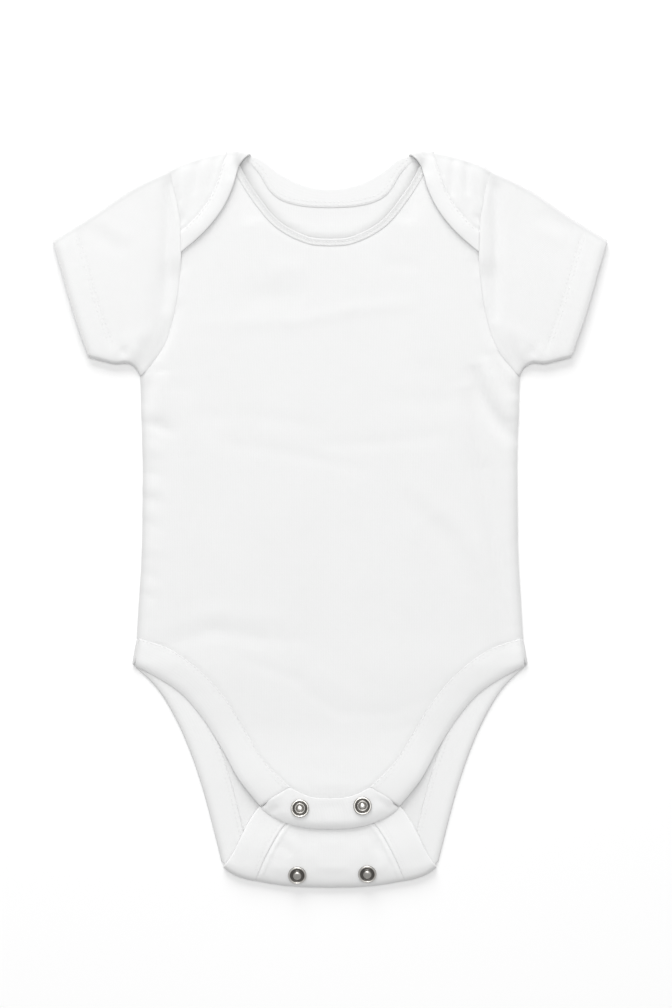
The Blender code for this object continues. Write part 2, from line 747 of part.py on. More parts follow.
def sleeve_section(along, head, hem, top, low):
    """One closed ring of the flattened sleeve, as mid-surface points."""
    wall = PANEL_WALL / 2
    width = np.linalg.norm(low - top)
    full = smoothstep(along, 0.0, SLEEVE_LOW_BEND_FULL)
    low_bend = SLEEVE_UNDERARM_BEND + (SLEEVE_LOW_BEND - SLEEVE_UNDERARM_BEND) * full
    start = (wall + SLEEVE_TOP_BEND) / width
    end = 1 - (wall + low_bend) / width
    level = np.linspace(0.0, 1.0, SLEEVE_SPANS + 1)
    turn = np.linspace(0.0, math.pi, SLEEVE_BEND_SPANS + 1)[1:-1]
    shares = np.concatenate(
        [
            start + (end - start) * level,
            end + low_bend * np.sin(turn) / width,
            end - (end - start) * level,
            start - SLEEVE_TOP_BEND * np.sin(turn) / width,
        ]
    )
    plan = sleeve_plan(shares, along, head, hem, top, low)
    upper = plan[: SLEEVE_SPANS + 1]
    ramp = wall + 2 * (SLEEVE_TOP_BEND + (low_bend - SLEEVE_TOP_BEND) * level)
    sleeve_top = ramp + SLEEVE_CROWN * np.sin(math.pi * level)
    blend = smoothstep(along, 0.0, SLEEVE_HEAD_BLEND)
    body_top = sleeve_head_level(upper[:, 0], upper[:, 1])
    upper_height = body_top + (sleeve_top - body_top) * blend
    first = upper_height[0] - wall
    last = upper_height[-1] - wall
    height = np.concatenate(
        [
            upper_height,
            wall + last * (1 + np.cos(turn)) / 2,
            np.full(SLEEVE_SPANS + 1, wall),
            wall + first * (1 - np.cos(turn)) / 2,
        ]
    )
    return np.concatenate([plan, height[:, None]], axis=1)


def build_sleeve(name, side, material):
    """Short sleeve as a flattened tube, sewn shut under the arm and turned at its hem."""
    armhole = armhole_line(-SEAM_GAP / 2)[::-1]
    hem = smooth_line(SLEEVE_HEM, ARMHOLE_ROWS)
    top_line = smooth_line(SLEEVE_TOP_LINE, SLEEVE_RINGS + 1)
    low_line = smooth_line(SLEEVE_LOW_LINE, SLEEVE_RINGS + 1)
    top_line[0] = armhole[0]
    low_line[0] = armhole[-1]
    rings = [
        sleeve_section(index / SLEEVE_RINGS, armhole, hem, top_line[index], low_line[index])
        for index in range(SLEEVE_RINGS + 1)
    ]
    surface = np.stack(rings) * np.array([side, 1.0, 1.0])
    return cloth_piece(name, [surface], PANEL_WALL, material, closed=True)


# Snaps ----------------------------------------------------------------------------

def disc_heights(level, place, radius, tilt):
    """Height of a surface above a tilted plane through a snap's place, over its disc."""
    angle = np.linspace(0.0, 2 * math.pi, HIDDEN_SNAP_SIDES)[:, None]
    reach = np.linspace(0.0, radius, DISC_RINGS)[None, :]
    x = place.x + reach * np.cos(angle)
    y = place.y + reach * np.sin(angle)
    return level(x, y) - (y - place.y) * math.tan(tilt)


def set_down(item, place, height, tilt):
    """Place a snap part at a height, leaning towards the crotch fold."""
    item.location = (place.x * MM, place.y * MM, height * MM)
    item.rotation_euler = (tilt, 0.0, 0.0)
    return item


def build_closed_snap(place, metal):
    """Cap and socket on the crotch band, stud and backing ring on the tongue."""
    radius = CAP_PROFILE[2].radius
    band = BINDING_WALL / 2 + SNAP_CLEARANCE
    over = disc_heights(front_level, place, radius, 0.0)
    under = disc_heights(tongue_level, place, radius, 0.0)
    cap = turned_piece("snap_cap_" + place.name, CAP_PROFILE, False, SNAP_SIDES, metal)
    set_down(cap, place, over.max() + band, 0.0)
    socket = turned_piece("snap_socket_" + place.name, plate(SOCKET_DEPTH), False, HIDDEN_SNAP_SIDES, metal)
    set_down(socket, place, over.min() - band - SOCKET_DEPTH, 0.0)
    stud = turned_piece("snap_stud_" + place.name, plate(STUD_PLATE), False, HIDDEN_SNAP_SIDES, metal)
    set_down(stud, place, under.max() + band, 0.0)
    ring = turned_piece("snap_ring_" + place.name, ring_section(), True, HIDDEN_SNAP_SIDES, metal)
    set_down(ring, place, under.min() - band - BACKING_RING_DEPTH, 0.0)


def build_open_snap(place, metal):
    """Open stud on the outer face of the tongue, with its backing ring in the fold."""
    radius = STUD_PROFILE[2].radius
    wall = (PANEL_WALL / 2 + SNAP_CLEARANCE) / math.cos(OPEN_SNAP_TILT)
    surface = disc_heights(tongue_level, place, radius, OPEN_SNAP_TILT)
    stud = turned_piece("open_stud_" + place.name, STUD_PROFILE, False, SNAP_SIDES, metal)
    set_down(stud, place, surface.max() + wall, OPEN_SNAP_TILT)
    ring = turned_piece("open_ring_" + place.name, ring_section(), True, HIDDEN_SNAP_SIDES, metal)
    inside = disc_heights(tongue_level, place, BACKING_RING[1], OPEN_SNAP_TILT)
    set_down(ring, place, inside.min() - wall - BACKING_RING_DEPTH, OPEN_SNAP_TILT)


def plate(depth):
    """Section of a flat hidden snap part."""
    radius = BACKING_RING[1]
    return [Turn(0.0, 0.0), Turn(radius, 0.0), Turn(radius, depth), Turn(0.0, depth)]


def ring_section():
    """Section of the ring whose prongs hold a snap part from behind."""
    inner, outer = BACKING_RING
    depth = BACKING_RING_DEPTH
    return [Turn(inner, 0.0), Turn(outer, 0.0), Turn(outer, depth), Turn(inner, depth)]


# Build ----------------------------------------------------------------------------

def clear_scene():
    """Remove every object of the open file."""
    for item in list(bpy.data.objects):
        bpy.data.objects.remove(item, do_unlink=True)


def main():
    """Build the whole garment."""
    clear_scene()
    jersey = new_material("white_jersey", (0.88, 0.88, 0.88), 0.9)
    rib = new_material("white_rib", (0.86, 0.86, 0.86), 0.85)
    metal = new_material("nickel", (0.55, 0.53, 0.5), 0.3, 1.0)
    build_back(jersey)
    build_front(jersey)
    build_back_neck_binding(rib)
    build_front_neck_binding(rib)
    build_crotch_band(rib)
    for name, side in (("left", -1.0), ("right", 1.0)):
        build_sleeve("sleeve_" + name, side, jersey)
        build_leg_binding("leg_binding_" + name, side, rib)
    for place in CLOSED_SNAPS:
        build_closed_snap(place, metal)
    for place in OPEN_SNAPS:
        build_open_snap(place, metal)


main()
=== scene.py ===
"""Finished look of a short-sleeved baby bodysuit that lies flat on its back.

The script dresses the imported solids: each cloth piece gets its drape, seams,
stitching and knit, and each snap its turned profile.  Sizes are millimetres in
the frame of the solids: X across the chest, Y to the neck, Z up from the floor.
"""

from dataclasses import dataclass, field
from enum import Enum
import logging
import math
from typing import Callable, NamedTuple, Sequence

import bmesh
import bpy
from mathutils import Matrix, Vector
import numpy as np


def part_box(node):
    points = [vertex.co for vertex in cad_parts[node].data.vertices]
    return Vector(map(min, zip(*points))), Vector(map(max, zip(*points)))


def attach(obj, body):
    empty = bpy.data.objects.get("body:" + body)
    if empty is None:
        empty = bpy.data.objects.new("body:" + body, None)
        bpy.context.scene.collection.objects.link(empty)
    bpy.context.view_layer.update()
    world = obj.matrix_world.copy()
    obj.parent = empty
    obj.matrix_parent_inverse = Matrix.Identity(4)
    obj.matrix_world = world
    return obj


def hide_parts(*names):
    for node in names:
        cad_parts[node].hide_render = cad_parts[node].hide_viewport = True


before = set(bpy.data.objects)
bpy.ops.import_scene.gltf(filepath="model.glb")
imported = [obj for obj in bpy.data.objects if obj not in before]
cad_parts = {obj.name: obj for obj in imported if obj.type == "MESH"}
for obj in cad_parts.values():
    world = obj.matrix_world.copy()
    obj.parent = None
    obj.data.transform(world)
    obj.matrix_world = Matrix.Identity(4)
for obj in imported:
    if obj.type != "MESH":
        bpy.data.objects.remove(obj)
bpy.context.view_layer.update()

LOG = logging.getLogger("bodysuit")
MM = 0.001
CURVE_SAMPLES = 80
EDGE_CROWDING = 0.85
BEND_ROWS = 9
CUT_MAP = "cut"
# Painted shade along the garment's outline: the attribute that carries it, and its width in millimetres
PAINTED_RIM_SHADE_MAP = "rim"
PAINTED_RIM_SHADE_WIDTH = 2.3

Array = np.ndarray
Pair = tuple[float, float]
Triple = tuple[float, float, float]
Level = Callable[[Array, Array], Array]
Object = bpy.types.Object
Material = bpy.types.Material
Socket = bpy.types.NodeSocket

# Half outlines, as in the solids: distance from the centre line, height


class Edge(NamedTuple):
    """A point of a half outline."""

    half_width: float
    height: float


class Band(NamedTuple):
    """A place along a binding: its free edge and its seam."""

    outer_half: float
    outer_height: float
    inner_half: float
    inner_height: float


def edges(*rows: Pair) -> list[Edge]:
    """A half outline from rows of half width and height."""
    return [Edge(*row) for row in rows]


def bands(*rows: tuple[float, ...]) -> list[Band]:
    """A binding from rows of the half width and height of its edge and of its seam."""
    return [Band(*row) for row in rows]


ARMHOLE = edges(
    (90.2, 195.2), (86.8, 182.3), (84.3, 170.0), (83.4, 151.5), (84.6, 132.4), (87.9, 112.3), (93.5, 96.0),
    (99.7, 87.1), (106.4, 79.8),
)
SIDE_SEAM = edges(
    (106.4, 79.8), (105.8, 60.8), (104.9, 30.0), (105.0, 10.4), (105.6, -23.2), (107.0, -45.6),
    (108.3, -66.9),
)
SHOULDER_FOLD = edges(
    (90.2, 195.2), (86.2, 197.5), (78.4, 200.8), (72.0, 202.8), (62.7, 205.0), (58.2, 205.8),
    (53.5, 206.3), (49.0, 206.5), (45.5, 205.3),
)
CROTCH_FOLD = edges(
    (0.0, -207.2), (22.4, -206.3), (37.0, -204.2), (45.0, -202.6), (53.8, -199.6), (60.2, -195.2),
)
FRONT_NECK_SEAM = edges(
    (0.0, 152.3), (11.2, 153.3), (17.9, 155.6), (22.4, 157.7), (27.2, 160.5), (31.6, 163.8), (36.1, 168.3),
    (40.9, 174.4), (45.1, 180.2), (48.9, 186.0), (52.0, 191.4), (54.6, 197.4), (56.4, 204.2),
)
BACK_NECK_SEAM = edges(
    (0.0, 174.0), (12.0, 174.5), (21.0, 176.0), (28.4, 178.8), (33.2, 182.6), (36.6, 187.6), (39.6, 192.8),
    (43.8, 197.4), (50.0, 201.0), (58.2, 203.6),
)
CROTCH_SEAM = edges(
    (0.0, -156.4), (9.0, -155.8), (16.0, -153.6), (21.8, -150.6), (30.2, -155.8), (38.7, -161.3),
)
CROTCH_HEM = edges((0.0, -173.9), (12.0, -173.4), (22.4, -171.2), (31.0, -167.9), (38.6, -163.4))
SLEEVE_TOP_LINE = edges((90.2, 195.2), (110.0, 185.6), (132.0, 170.8), (155.4, 156.0))
SLEEVE_HEM = edges((155.4, 156.0), (150.4, 139.0), (143.5, 115.0), (135.0, 90.2))
SLEEVE_LOW_LINE = edges(
    (106.4, 79.8), (109.5, 84.6), (113.2, 86.8), (120.5, 86.6), (129.0, 88.6), (135.0, 90.2),
)
LEG_FRONT = bands(
    (38.9, -161.3, 21.8, -150.6), (51.0, -146.2, 36.0, -136.5), (60.3, -129.6, 46.3, -120.3),
    (71.4, -112.3, 58.5, -100.6), (83.2, -98.6, 72.5, -85.2), (98.3, -88.5, 90.5, -72.6),
    (110.8, -82.2, 108.3, -66.9),
)
LEG_BACK = bands(
    (110.8, -82.2, 108.3, -66.9), (98.8, -93.2, 88.0, -80.5), (85.8, -114.0, 71.5, -105.0),
    (79.0, -129.6, 63.3, -123.5), (71.8, -150.6, 55.8, -146.0), (65.4, -174.4, 49.0, -172.5),
    (60.2, -195.2, 41.5, -203.4),
)
TONGUE = bands(
    (59.6, -195.4, 41.5, -203.4), (54.3, -187.2, 37.3, -192.5), (50.2, -179.0, 33.2, -184.3),
    (45.8, -170.4, 28.0, -175.4), (39.4, -161.3, 22.0, -167.6), (31.0, -154.2, 15.6, -159.8),
    (24.0, -150.0, 11.0, -149.0),
)
FLAP = bands(
    (45.5, 205.3, 58.2, 205.8), (48.2, 201.3, 59.0, 201.2), (50.8, 197.4, 59.9, 198.6),
    (52.4, 192.3, 61.3, 194.9), (54.0, 186.6, 62.8, 189.7), (59.7, 174.1, 67.8, 178.8),
    (66.9, 164.2, 74.0, 170.2), (75.3, 155.8, 80.6, 163.4), (83.9, 148.7, 84.1, 160.4),
)


class Side(Enum):
    """The left or right half of the garment, seen from above with the neck away."""

    LEFT = -1.0
    RIGHT = 1.0

    @property
    def label(self) -> str:
        """Lower-case name, as in the names of the solids."""
        return self.name.lower()

    def turn(self, points: Array) -> Array:
        """Points of the right half, in the plan or in space, with X turned round on the left."""
        factors = np.array([self.value, 1.0, 1.0])
        return points * factors[: points.shape[-1]]

    def under(self, level: Level) -> Level:
        """This half's height, as a function of places on the right half."""
        return lambda x, y: level(x * self.value, y)


# Curves


def smoothstep(value: Array, start: float, end: float) -> Array:
    """Soft step from 0 at start to 1 at end: 3t squared less 2t cubed."""
    t = np.clip((value - start) / (end - start), 0.0, 1.0)
    return t * t * (3.0 - 2.0 * t)


def quarter_round(value: Array) -> Array:
    """Quarter circle: steep at 0, level from 1 on."""
    t = np.clip(value, 0.0, 1.0)
    return np.sqrt(np.clip(1.0 - (1.0 - t) ** 2, 0.0, 1.0))


def rolled(gap: Array, depth: Array, reach: float) -> Array:
    """How far cloth drops near a free edge: depth times the square of 1 - gap / reach."""
    return depth * np.clip(1.0 - gap / reach, 0.0, 1.0) ** 2


def arc_length(line: Array) -> Array:
    """Distance along a curve to each of its points."""
    steps = np.linalg.norm(np.diff(line, axis=0), axis=1)
    return np.concatenate([[0.0], np.cumsum(steps)])


def spaced(line: Array, shares: Array) -> Array:
    """Points of a curve at the given shares of its length.

    Args:
        line: Points of the curve.
        shares: Shares from 0 to 1.

    Returns:
        A point for each share.
    """
    length = arc_length(line)
    wanted = np.asarray(shares) * length[-1]
    return np.stack([np.interp(wanted, length, line[:, k]) for k in range(line.shape[1])], axis=1)


def smooth_line(points: Sequence[Sequence[float]], count: int) -> Array:
    """Evenly spaced points on a smooth curve through a few given ones.

    Between two points the curve is a cubic whose end slopes are the central
    differences of the points over their chord length.

    Args:
        points: The points to pass through.
        count: How many points to return.

    Returns:
        An array of count rows.
    """
    knots = np.array(points, dtype=float)
    chord = arc_length(knots)
    slope = np.gradient(knots, chord, axis=0)
    fine = np.linspace(0.0, chord[-1], CURVE_SAMPLES * len(knots))
    cell = np.clip(np.searchsorted(chord, fine, side="right") - 1, 0, len(knots) - 2)
    span = (chord[cell + 1] - chord[cell])[:, None]
    t = (fine - chord[cell])[:, None] / span
    curve = (
        (2 * t**3 - 3 * t**2 + 1) * knots[cell]
        + (t**3 - 2 * t**2 + t) * span * slope[cell]
        + (3 * t**2 - 2 * t**3) * knots[cell + 1]
        + (t**3 - t**2) * span * slope[cell + 1]
    )
    return spaced(curve, np.linspace(0.0, 1.0, count))


def inset(line: Array, distance: float) -> Array:
    """A plan curve moved sideways.

    Args:
        line: Plan points of the curve.
        distance: How far, positive to the left of its direction.

    Returns:
        The moved points.
    """
    step = np.gradient(line, axis=0)
    normal = np.stack([-step[:, 1], step[:, 0]], axis=1)
    normal /= np.linalg.norm(normal, axis=1)[:, None]
    return line + normal * distance


def mirrored(line: Array) -> Array:
    """The same plan curve on the garment's other side."""
    return line * np.array([-1.0, 1.0])


def across(half: Array) -> Array:
    """A whole curve from its right half.

    Args:
        half: Plan points from the centre line to the right.

    Returns:
        The points from left to right.
    """
    half = half.copy()
    half[0, 0] = 0.0
    return np.concatenate([mirrored(half[:0:-1]), half])


def edge_shares(count: int, crowding: float = EDGE_CROWDING) -> Array:
    """Shares that stand closer near both ends: t less crowding times sin(2 pi t) over 2 pi."""
    t = np.linspace(0.0, 1.0, count)
    return t - crowding * np.sin(2 * math.pi * t) / (2 * math.pi)


def coons(low: Array, high: Array, left: Array, right: Array) -> Array:
    """Plan grid between four border curves, with rows from low to high.

    The sum of the two ruled surfaces less the bilinear one of the corners,
    where both parameters run evenly from 0 to 1.

    Args:
        low: First row.
        high: Last row.
        left: First column, from low to high.
        right: Last column, from low to high.

    Returns:
        The grid.
    """
    u = np.linspace(0.0, 1.0, len(low))[None, :, None]
    v = np.linspace(0.0, 1.0, len(left))[:, None, None]
    ruled = (1 - v) * low[None] + v * high[None] + (1 - u) * left[:, None] + u * right[:, None]
    corners = (
        (1 - u) * (1 - v) * low[0]
        + u * (1 - v) * low[-1]
        + (1 - u) * v * high[0]
        + u * v * high[-1]
    )
    return ruled - corners


def respaced(plan: Array, shares: Array) -> Array:
    """A grid with its rows moved along its columns.

    Args:
        plan: A grid with even rows.
        shares: Where each new row stands, from 0 to 1.

    Returns:
        The grid with new rows, straight between the old ones.
    """
    place = shares * (len(plan) - 1)
    below = np.minimum(place.astype(int), len(plan) - 2)
    share = (place - below)[:, None, None]
    return plan[below] * (1 - share) + plan[below + 1] * share


def carried_on(start: Array, line: Array) -> Array:
    """A plan point, then the part of a line that lies 0.6 mm or more above it."""
    return np.concatenate([start[None], line[line[:, 1] > start[1] + 0.6]])


def nearest(line: Array, x: Array, y: Array) -> tuple[Array, Array]:
    """Distance from points to a plan curve, and the place along it they are nearest to.

    Args:
        line: Plan points of the curve.
        x: Places across.
        y: Places along.

    Returns:
        The distances, and the lengths along the curve, both shaped as x.
    """
    points = np.stack([x.ravel(), y.ravel()], axis=1)
    start = line[:-1]
    step = np.diff(line, axis=0)
    squares = np.maximum((step**2).sum(axis=1), 1e-9)
    length = arc_length(line)
    best = np.full(len(points), np.inf)
    place = np.zeros(len(points))
    for origin, way, square, before in zip(start, step, squares, length):
        share = np.clip(((points - origin) @ way) / square, 0.0, 1.0)
        gap = np.linalg.norm(points - origin - share[:, None] * way, axis=1)
        closer = gap < best
        best = np.where(closer, gap, best)
        place = np.where(closer, before + share * math.sqrt(square), place)
    return best.reshape(x.shape), place.reshape(x.shape)


def outer_line(bands: Sequence[Band], count: int) -> Array:
    """Free edge of a binding."""
    return smooth_line([(band.outer_half, band.outer_height) for band in bands], count)


def inner_line(bands: Sequence[Band], count: int) -> Array:
    """Seam between a binding and its panel."""
    return smooth_line([(band.inner_half, band.inner_height) for band in bands], count)


# Drape


@dataclass(frozen=True)
class Crease:
    """A soft ridge, or a trough where rise is negative, between two places of the cloth.

    Its height is rise times the bell curve of the distance from a bowed line
    between the two places, measured in widths.  A long one fades at its ends.
    """

    x: float
    y: float
    end_x: float
    end_y: float
    width: float
    rise: float
    bow: float = 0.0

    def height(self, x: Array, y: Array) -> Array:
        """Height of the crease at places of the plan.

        Args:
            x: Places across.
            y: Places along.

        Returns:
            What the crease adds to the cloth's height.
        """
        run_x, run_y = self.end_x - self.x, self.end_y - self.y
        length = max(math.hypot(run_x, run_y), 0.01)
        along = ((x - self.x) * run_x + (y - self.y) * run_y) / length
        aside = ((y - self.y) * run_x - (x - self.x) * run_y) / length
        share = np.clip(along / length, 0.0, 1.0)
        past = np.abs(along - share * length)
        gap = np.hypot(aside - 4 * self.bow * share * (1 - share), past)
        fade = min(length / (4.0 * self.width), 1.0) * (1.0 - np.sqrt(4 * share * (1 - share)))
        return self.rise * np.exp(-((gap / self.width) ** 2)) * (1.0 - fade)


def creases(*rows: tuple[float, ...]) -> list[Crease]:
    """Creases from rows of x, y, end_x, end_y, width, rise and, where it bends, bow."""
    return [Crease(*row) for row in rows]


@dataclass(frozen=True)
class Pucker:
    """Fine waves that run out from a stitched line, where the sewing gathers the cloth.

    The height is depth times a sum of three sines of the place along the line,
    fading with the distance from it over reach; the left side's waves are out
    of step with the right's.  A ridge may run beside the dip at the line.
    """

    line: Array
    reach: float
    wave: float
    depth: float
    dip: float = 0.0
    dip_width: float = 1.2
    ridge: float = 0.0
    ridge_place: float = 1.9

    def height(self, x: Array, y: Array) -> Array:
        """Height of the waves, the dip at the stitching and the ridge beside it.

        Args:
            x: Places across.
            y: Places along.

        Returns:
            What the sewing adds to the cloth's height.
        """
        gap, place = nearest(self.line, np.abs(x), y)
        phase = 2 * math.pi * place / self.wave + np.where(x < 0, 2.3, 0.0)
        waves = np.sin(phase) + 0.7 * np.sin(1.618 * phase + 0.9) + 0.5 * np.sin(0.37 * phase + 2.0)
        swell = smoothstep(gap, 0.0, self.dip_width) * np.exp(-gap / self.reach)
        beside = self.ridge * np.exp(-((gap / self.dip_width - self.ridge_place) ** 2))
        return self.depth * waves * swell + beside - self.dip * np.exp(-((gap / self.dip_width) ** 2))


FRONT_CREASES = creases(
    # chest: a hollow under the left side of the neck, and a long low ridge that climbs right
    (-50, 124, -12, 125, 6.5, -0.37), (-36, 139.5, -12, 140.5, 5, 0.18), (28, 143, 52, 141.5, 3.6, -0.19),
    (-78, 109.5, -16, 110.5, 4.6, 0.18), (-28, 109.5, 18, 119, 3.8, 0.2, -0.8),
    (6, 117, 48, 120.5, 3.8, 0.2), (40, 84, 66, 79, 6.5, -0.11, 2),
    # waist: long level streaks that the layers below press into the cloth
    (30, 66.5, 82, 63, 6.5, -0.2, 0.6), (-54, 59, -2, 49.5, 4.4, -0.16, 0.8),
    (-78, 56.5, -56, 57, 4, -0.14), (-62, 42, -2, 32, 4, -0.17, 1), (-16, 35, 22, 26, 3.6, -0.14),
    (-8, 42, 30, 42.5, 3.4, -0.15, -0.6), (18, 42, 70, 47, 3.8, -0.16, -0.5),
    # right side: a long diagonal from the waist to the hip
    (40, 22, 76, -7, 5, 0.16, 1), (60, 8, 90, -31, 5, 0.19, 1), (38, 12, 72, -16, 5, -0.13, 1),
    (56, -1, 80, -39, 6.5, -0.19, 1.5), (-72, 10, -40, -22, 9, -0.08, -2),
    (-20, -8, 16, -30, 10, -0.08, 2),
    # hip and seat
    (-100, -75, -56, -62, 4.6, -0.25, 1.5), (-74, -62, -34, -68.5, 4.6, -0.26, 0.8),
    (-50, -67.5, -10, -68.5, 4.2, -0.17), (-100, -65, -56, -51.5, 5, 0.14, 2),
    (-76, -52, -22, -56.5, 5, 0.16, 0.6), (-50, -78.5, -14, -92, 3.8, -0.16),
    (-22, -86, 12, -111, 4.2, -0.17, -3), (-2, -107, 44, -109.5, 4.2, -0.16, -1),
    (28, -110.5, 60, -98, 3.8, -0.11, -1), (-10, -83, 30, -103, 5, 0.09, -2.5),
    (24, -119.5, 50, -114, 4, -0.12), (-28, -139, 6, -139.5, 4, -0.09),
    # cloth drawn up where the crotch band begins
    (-27, -152, -12, -149.5, 3, 0.13, 1), (-12, -149.5, 14, -149, 3, 0.16, 0.6),
    (14, -149, 28, -151.5, 3, 0.13, 1),
    # hollows under the flaps, where they leave the neck and reach the sleeves
    (-51.5, 205, -43, 166, 6, -0.9), (51.5, 205, 43, 166, 6, -0.9), (-80, 147, -82, 136, 1.8, -0.45),
    (80, 147, 82, 136, 1.8, -0.45),
    # left underarm
    (-97, 86, -105, 62, 3.2, -0.84, -0.8), (-93, 82, -96, 56, 4, 0.63, 0.5),
    (-104, 54, -88, 47.5, 3.4, -0.63, 0.8), (-103, 42, -95, 36.5, 3, 0.42), (-84, 72, -78, 36, 6, 0.25, 1),
    (-85, 46, -86.5, -62, 5, 0.22),
    # right underarm
    (93.5, 95, 105, 68, 3, -1, -2.4), (86, 90, 102, 55, 3.6, 1.15, -2.4),
    (80, 86, 104, 42, 4, -1.35, -3.6), (74, 76, 86, 30, 6, 0.5, -2),
    # long hollow inside the right side seam
    (77, 74, 105, -74, 5.2, -1.3, -1), (68, 66, 95, -72, 6, 0.4, -1), (102, 28, 103.5, -10, 2.6, 0.4),
    (104, -16, 106, -42, 2.4, 0.3),
    # ripples beside the left side seam
    (-104, 28, -96, 23.5, 3, -0.4), (-103, 19.5, -96.5, 15, 3, 0.28), (-104, 12, -96, 8, 3, -0.37),
    (-104, -2, -96, -6, 3, -0.34), (-104, -14, -97, -18.5, 3.2, 0.28), (-105, -30, -97, -34, 3, -0.34),
    (-105.5, -41, -98, -46, 3, -0.31),
)
FLAP_CREASES = creases(
    # left flap
    (-88, 197.5, -86, 174, 2, -0.44), (-81, 200, -83, 170, 2.6, 0.3), (-73.8, 204, -76.2, 181, 2.2, -0.47),
    (-69.5, 203, -71, 178, 2.4, 0.23), (-64.5, 204, -66.5, 182, 2.2, -0.4),
    (-55, 204, -56, 193, 2.6, 0.22), (-83, 170, -82.6, 165, 1.6, -0.33), (-84, 178, -78, 167, 1.6, 0.12),
    # right flap
    (89, 197.5, 86, 176, 1.9, -0.64), (86, 188, 85.4, 162, 2.2, 0.3), (76.2, 203, 76.8, 181, 2.2, -0.64),
    (71.4, 200, 73.6, 172, 2.6, 0.35), (68.4, 203, 68.2, 180, 2.2, -0.52), (61, 204, 62.5, 190, 2.2, -0.3),
    (82.6, 170.5, 82.4, 165.5, 1.6, -0.45), (83, 178, 78, 168.5, 1.6, 0.17),
)
SLEEVE_CREASES = creases(
    # left sleeve
    (-88.2, 212, -91.6, 116, 3.2, -1.5, -1), (-99.5, 190, -98, 128, 4.2, 0.34),
    (-137, 164.5, -113, 149, 4.6, -0.29, -1), (-132, 169.5, -110, 156.5, 4.2, 0.18, -1),
    (-113.5, 88, -116.5, 96, 2.2, -0.48), (-109, 89, -110, 98, 2.4, 0.34),
    (-119.5, 90, -121.5, 98, 2.2, 0.27), (-98, 108, -116, 97, 4.5, 0.31, 1),
    # right sleeve
    (90.6, 212, 93, 110, 3.2, -1.5, 1.2), (101.5, 190, 100, 128, 4.2, 0.31),
    (116, 170.5, 138, 160, 4.6, -0.26, 1), (112, 163, 131, 154, 4.2, 0.16, 1),
    (112, 88, 114, 96, 2.2, -0.37), (107.5, 88.5, 108, 98, 2.4, 0.28), (117.5, 89, 119, 97, 2.2, 0.25),
    (98, 108, 114, 98, 4.5, 0.28, -1),
)
UNDERARM_CREASES = creases(
    # the valley along the lower part of each armhole seam, on both sides of it
    (-84.5, 122, -104, 80, 2.8, -0.72, 1.8), (84.5, 122, 104, 80, 2.8, -0.72, -1.8),
)
BACK_CREASES = creases(
    # inside of the neck: small swells under the two shoulder folds, a broad one between
    (-47.4, 199.4, -46.4, 196.6, 2.7, 1.35), (47.8, 199.4, 46.8, 196.6, 2.7, 1.35),
    (-30, 166, 30, 166, 5.5, 0.23, -6),
    # back of the legs
    (-92, -100, -76, -150, 5, 0.28, 1.5), (-72, -160, -66, -186, 3.6, 0.24),
    (90, -104, 78, -144, 5, 0.24, -1.5), (74, -152, 66, -184, 3.6, 0.27),
)
TONGUE_CREASES = creases(
    (-29, -182, -22, -189, 3.2, -0.45, 0.6), (-21, -178.5, -17, -186, 3, 0.26),
    (-32, -193.5, -25, -197, 3, 0.3), (25, -180, 30, -188, 3, -0.41, -0.6),
    (18.5, -178, 21, -186, 3, 0.24), (31, -192, 27, -197, 2.6, 0.27),
    (-8, -194.4, 11, -195, 2, 0.15, -0.6), (-9, -198.4, 12, -199, 2.4, -0.11, -0.6),
    (-8, -186.5, 12, -188, 4, -0.14, -0.8), (-6, -180.5, 8, -181, 3, 0.11),
)
BAND_CREASES = creases(
    (-27.5, -160.5, -33.5, -164.5, 2.4, -0.44), (-25.5, -153.5, -37, -159, 2, 0.24),
    (23.5, -156, 35, -162.5, 2.2, -0.4), (27.5, -153, 37.5, -159, 1.8, 0.24),
    (-7, -161.5, 8, -160.5, 3, -0.19), (-4, -168.5, 7, -168.5, 3, 0.11),
)


def relief(group: Sequence[Crease], x: Array, y: Array) -> Array:
    """Height that a group of creases adds to points of the plan."""
    return sum((crease.height(x, y) for crease in group), np.zeros_like(x))


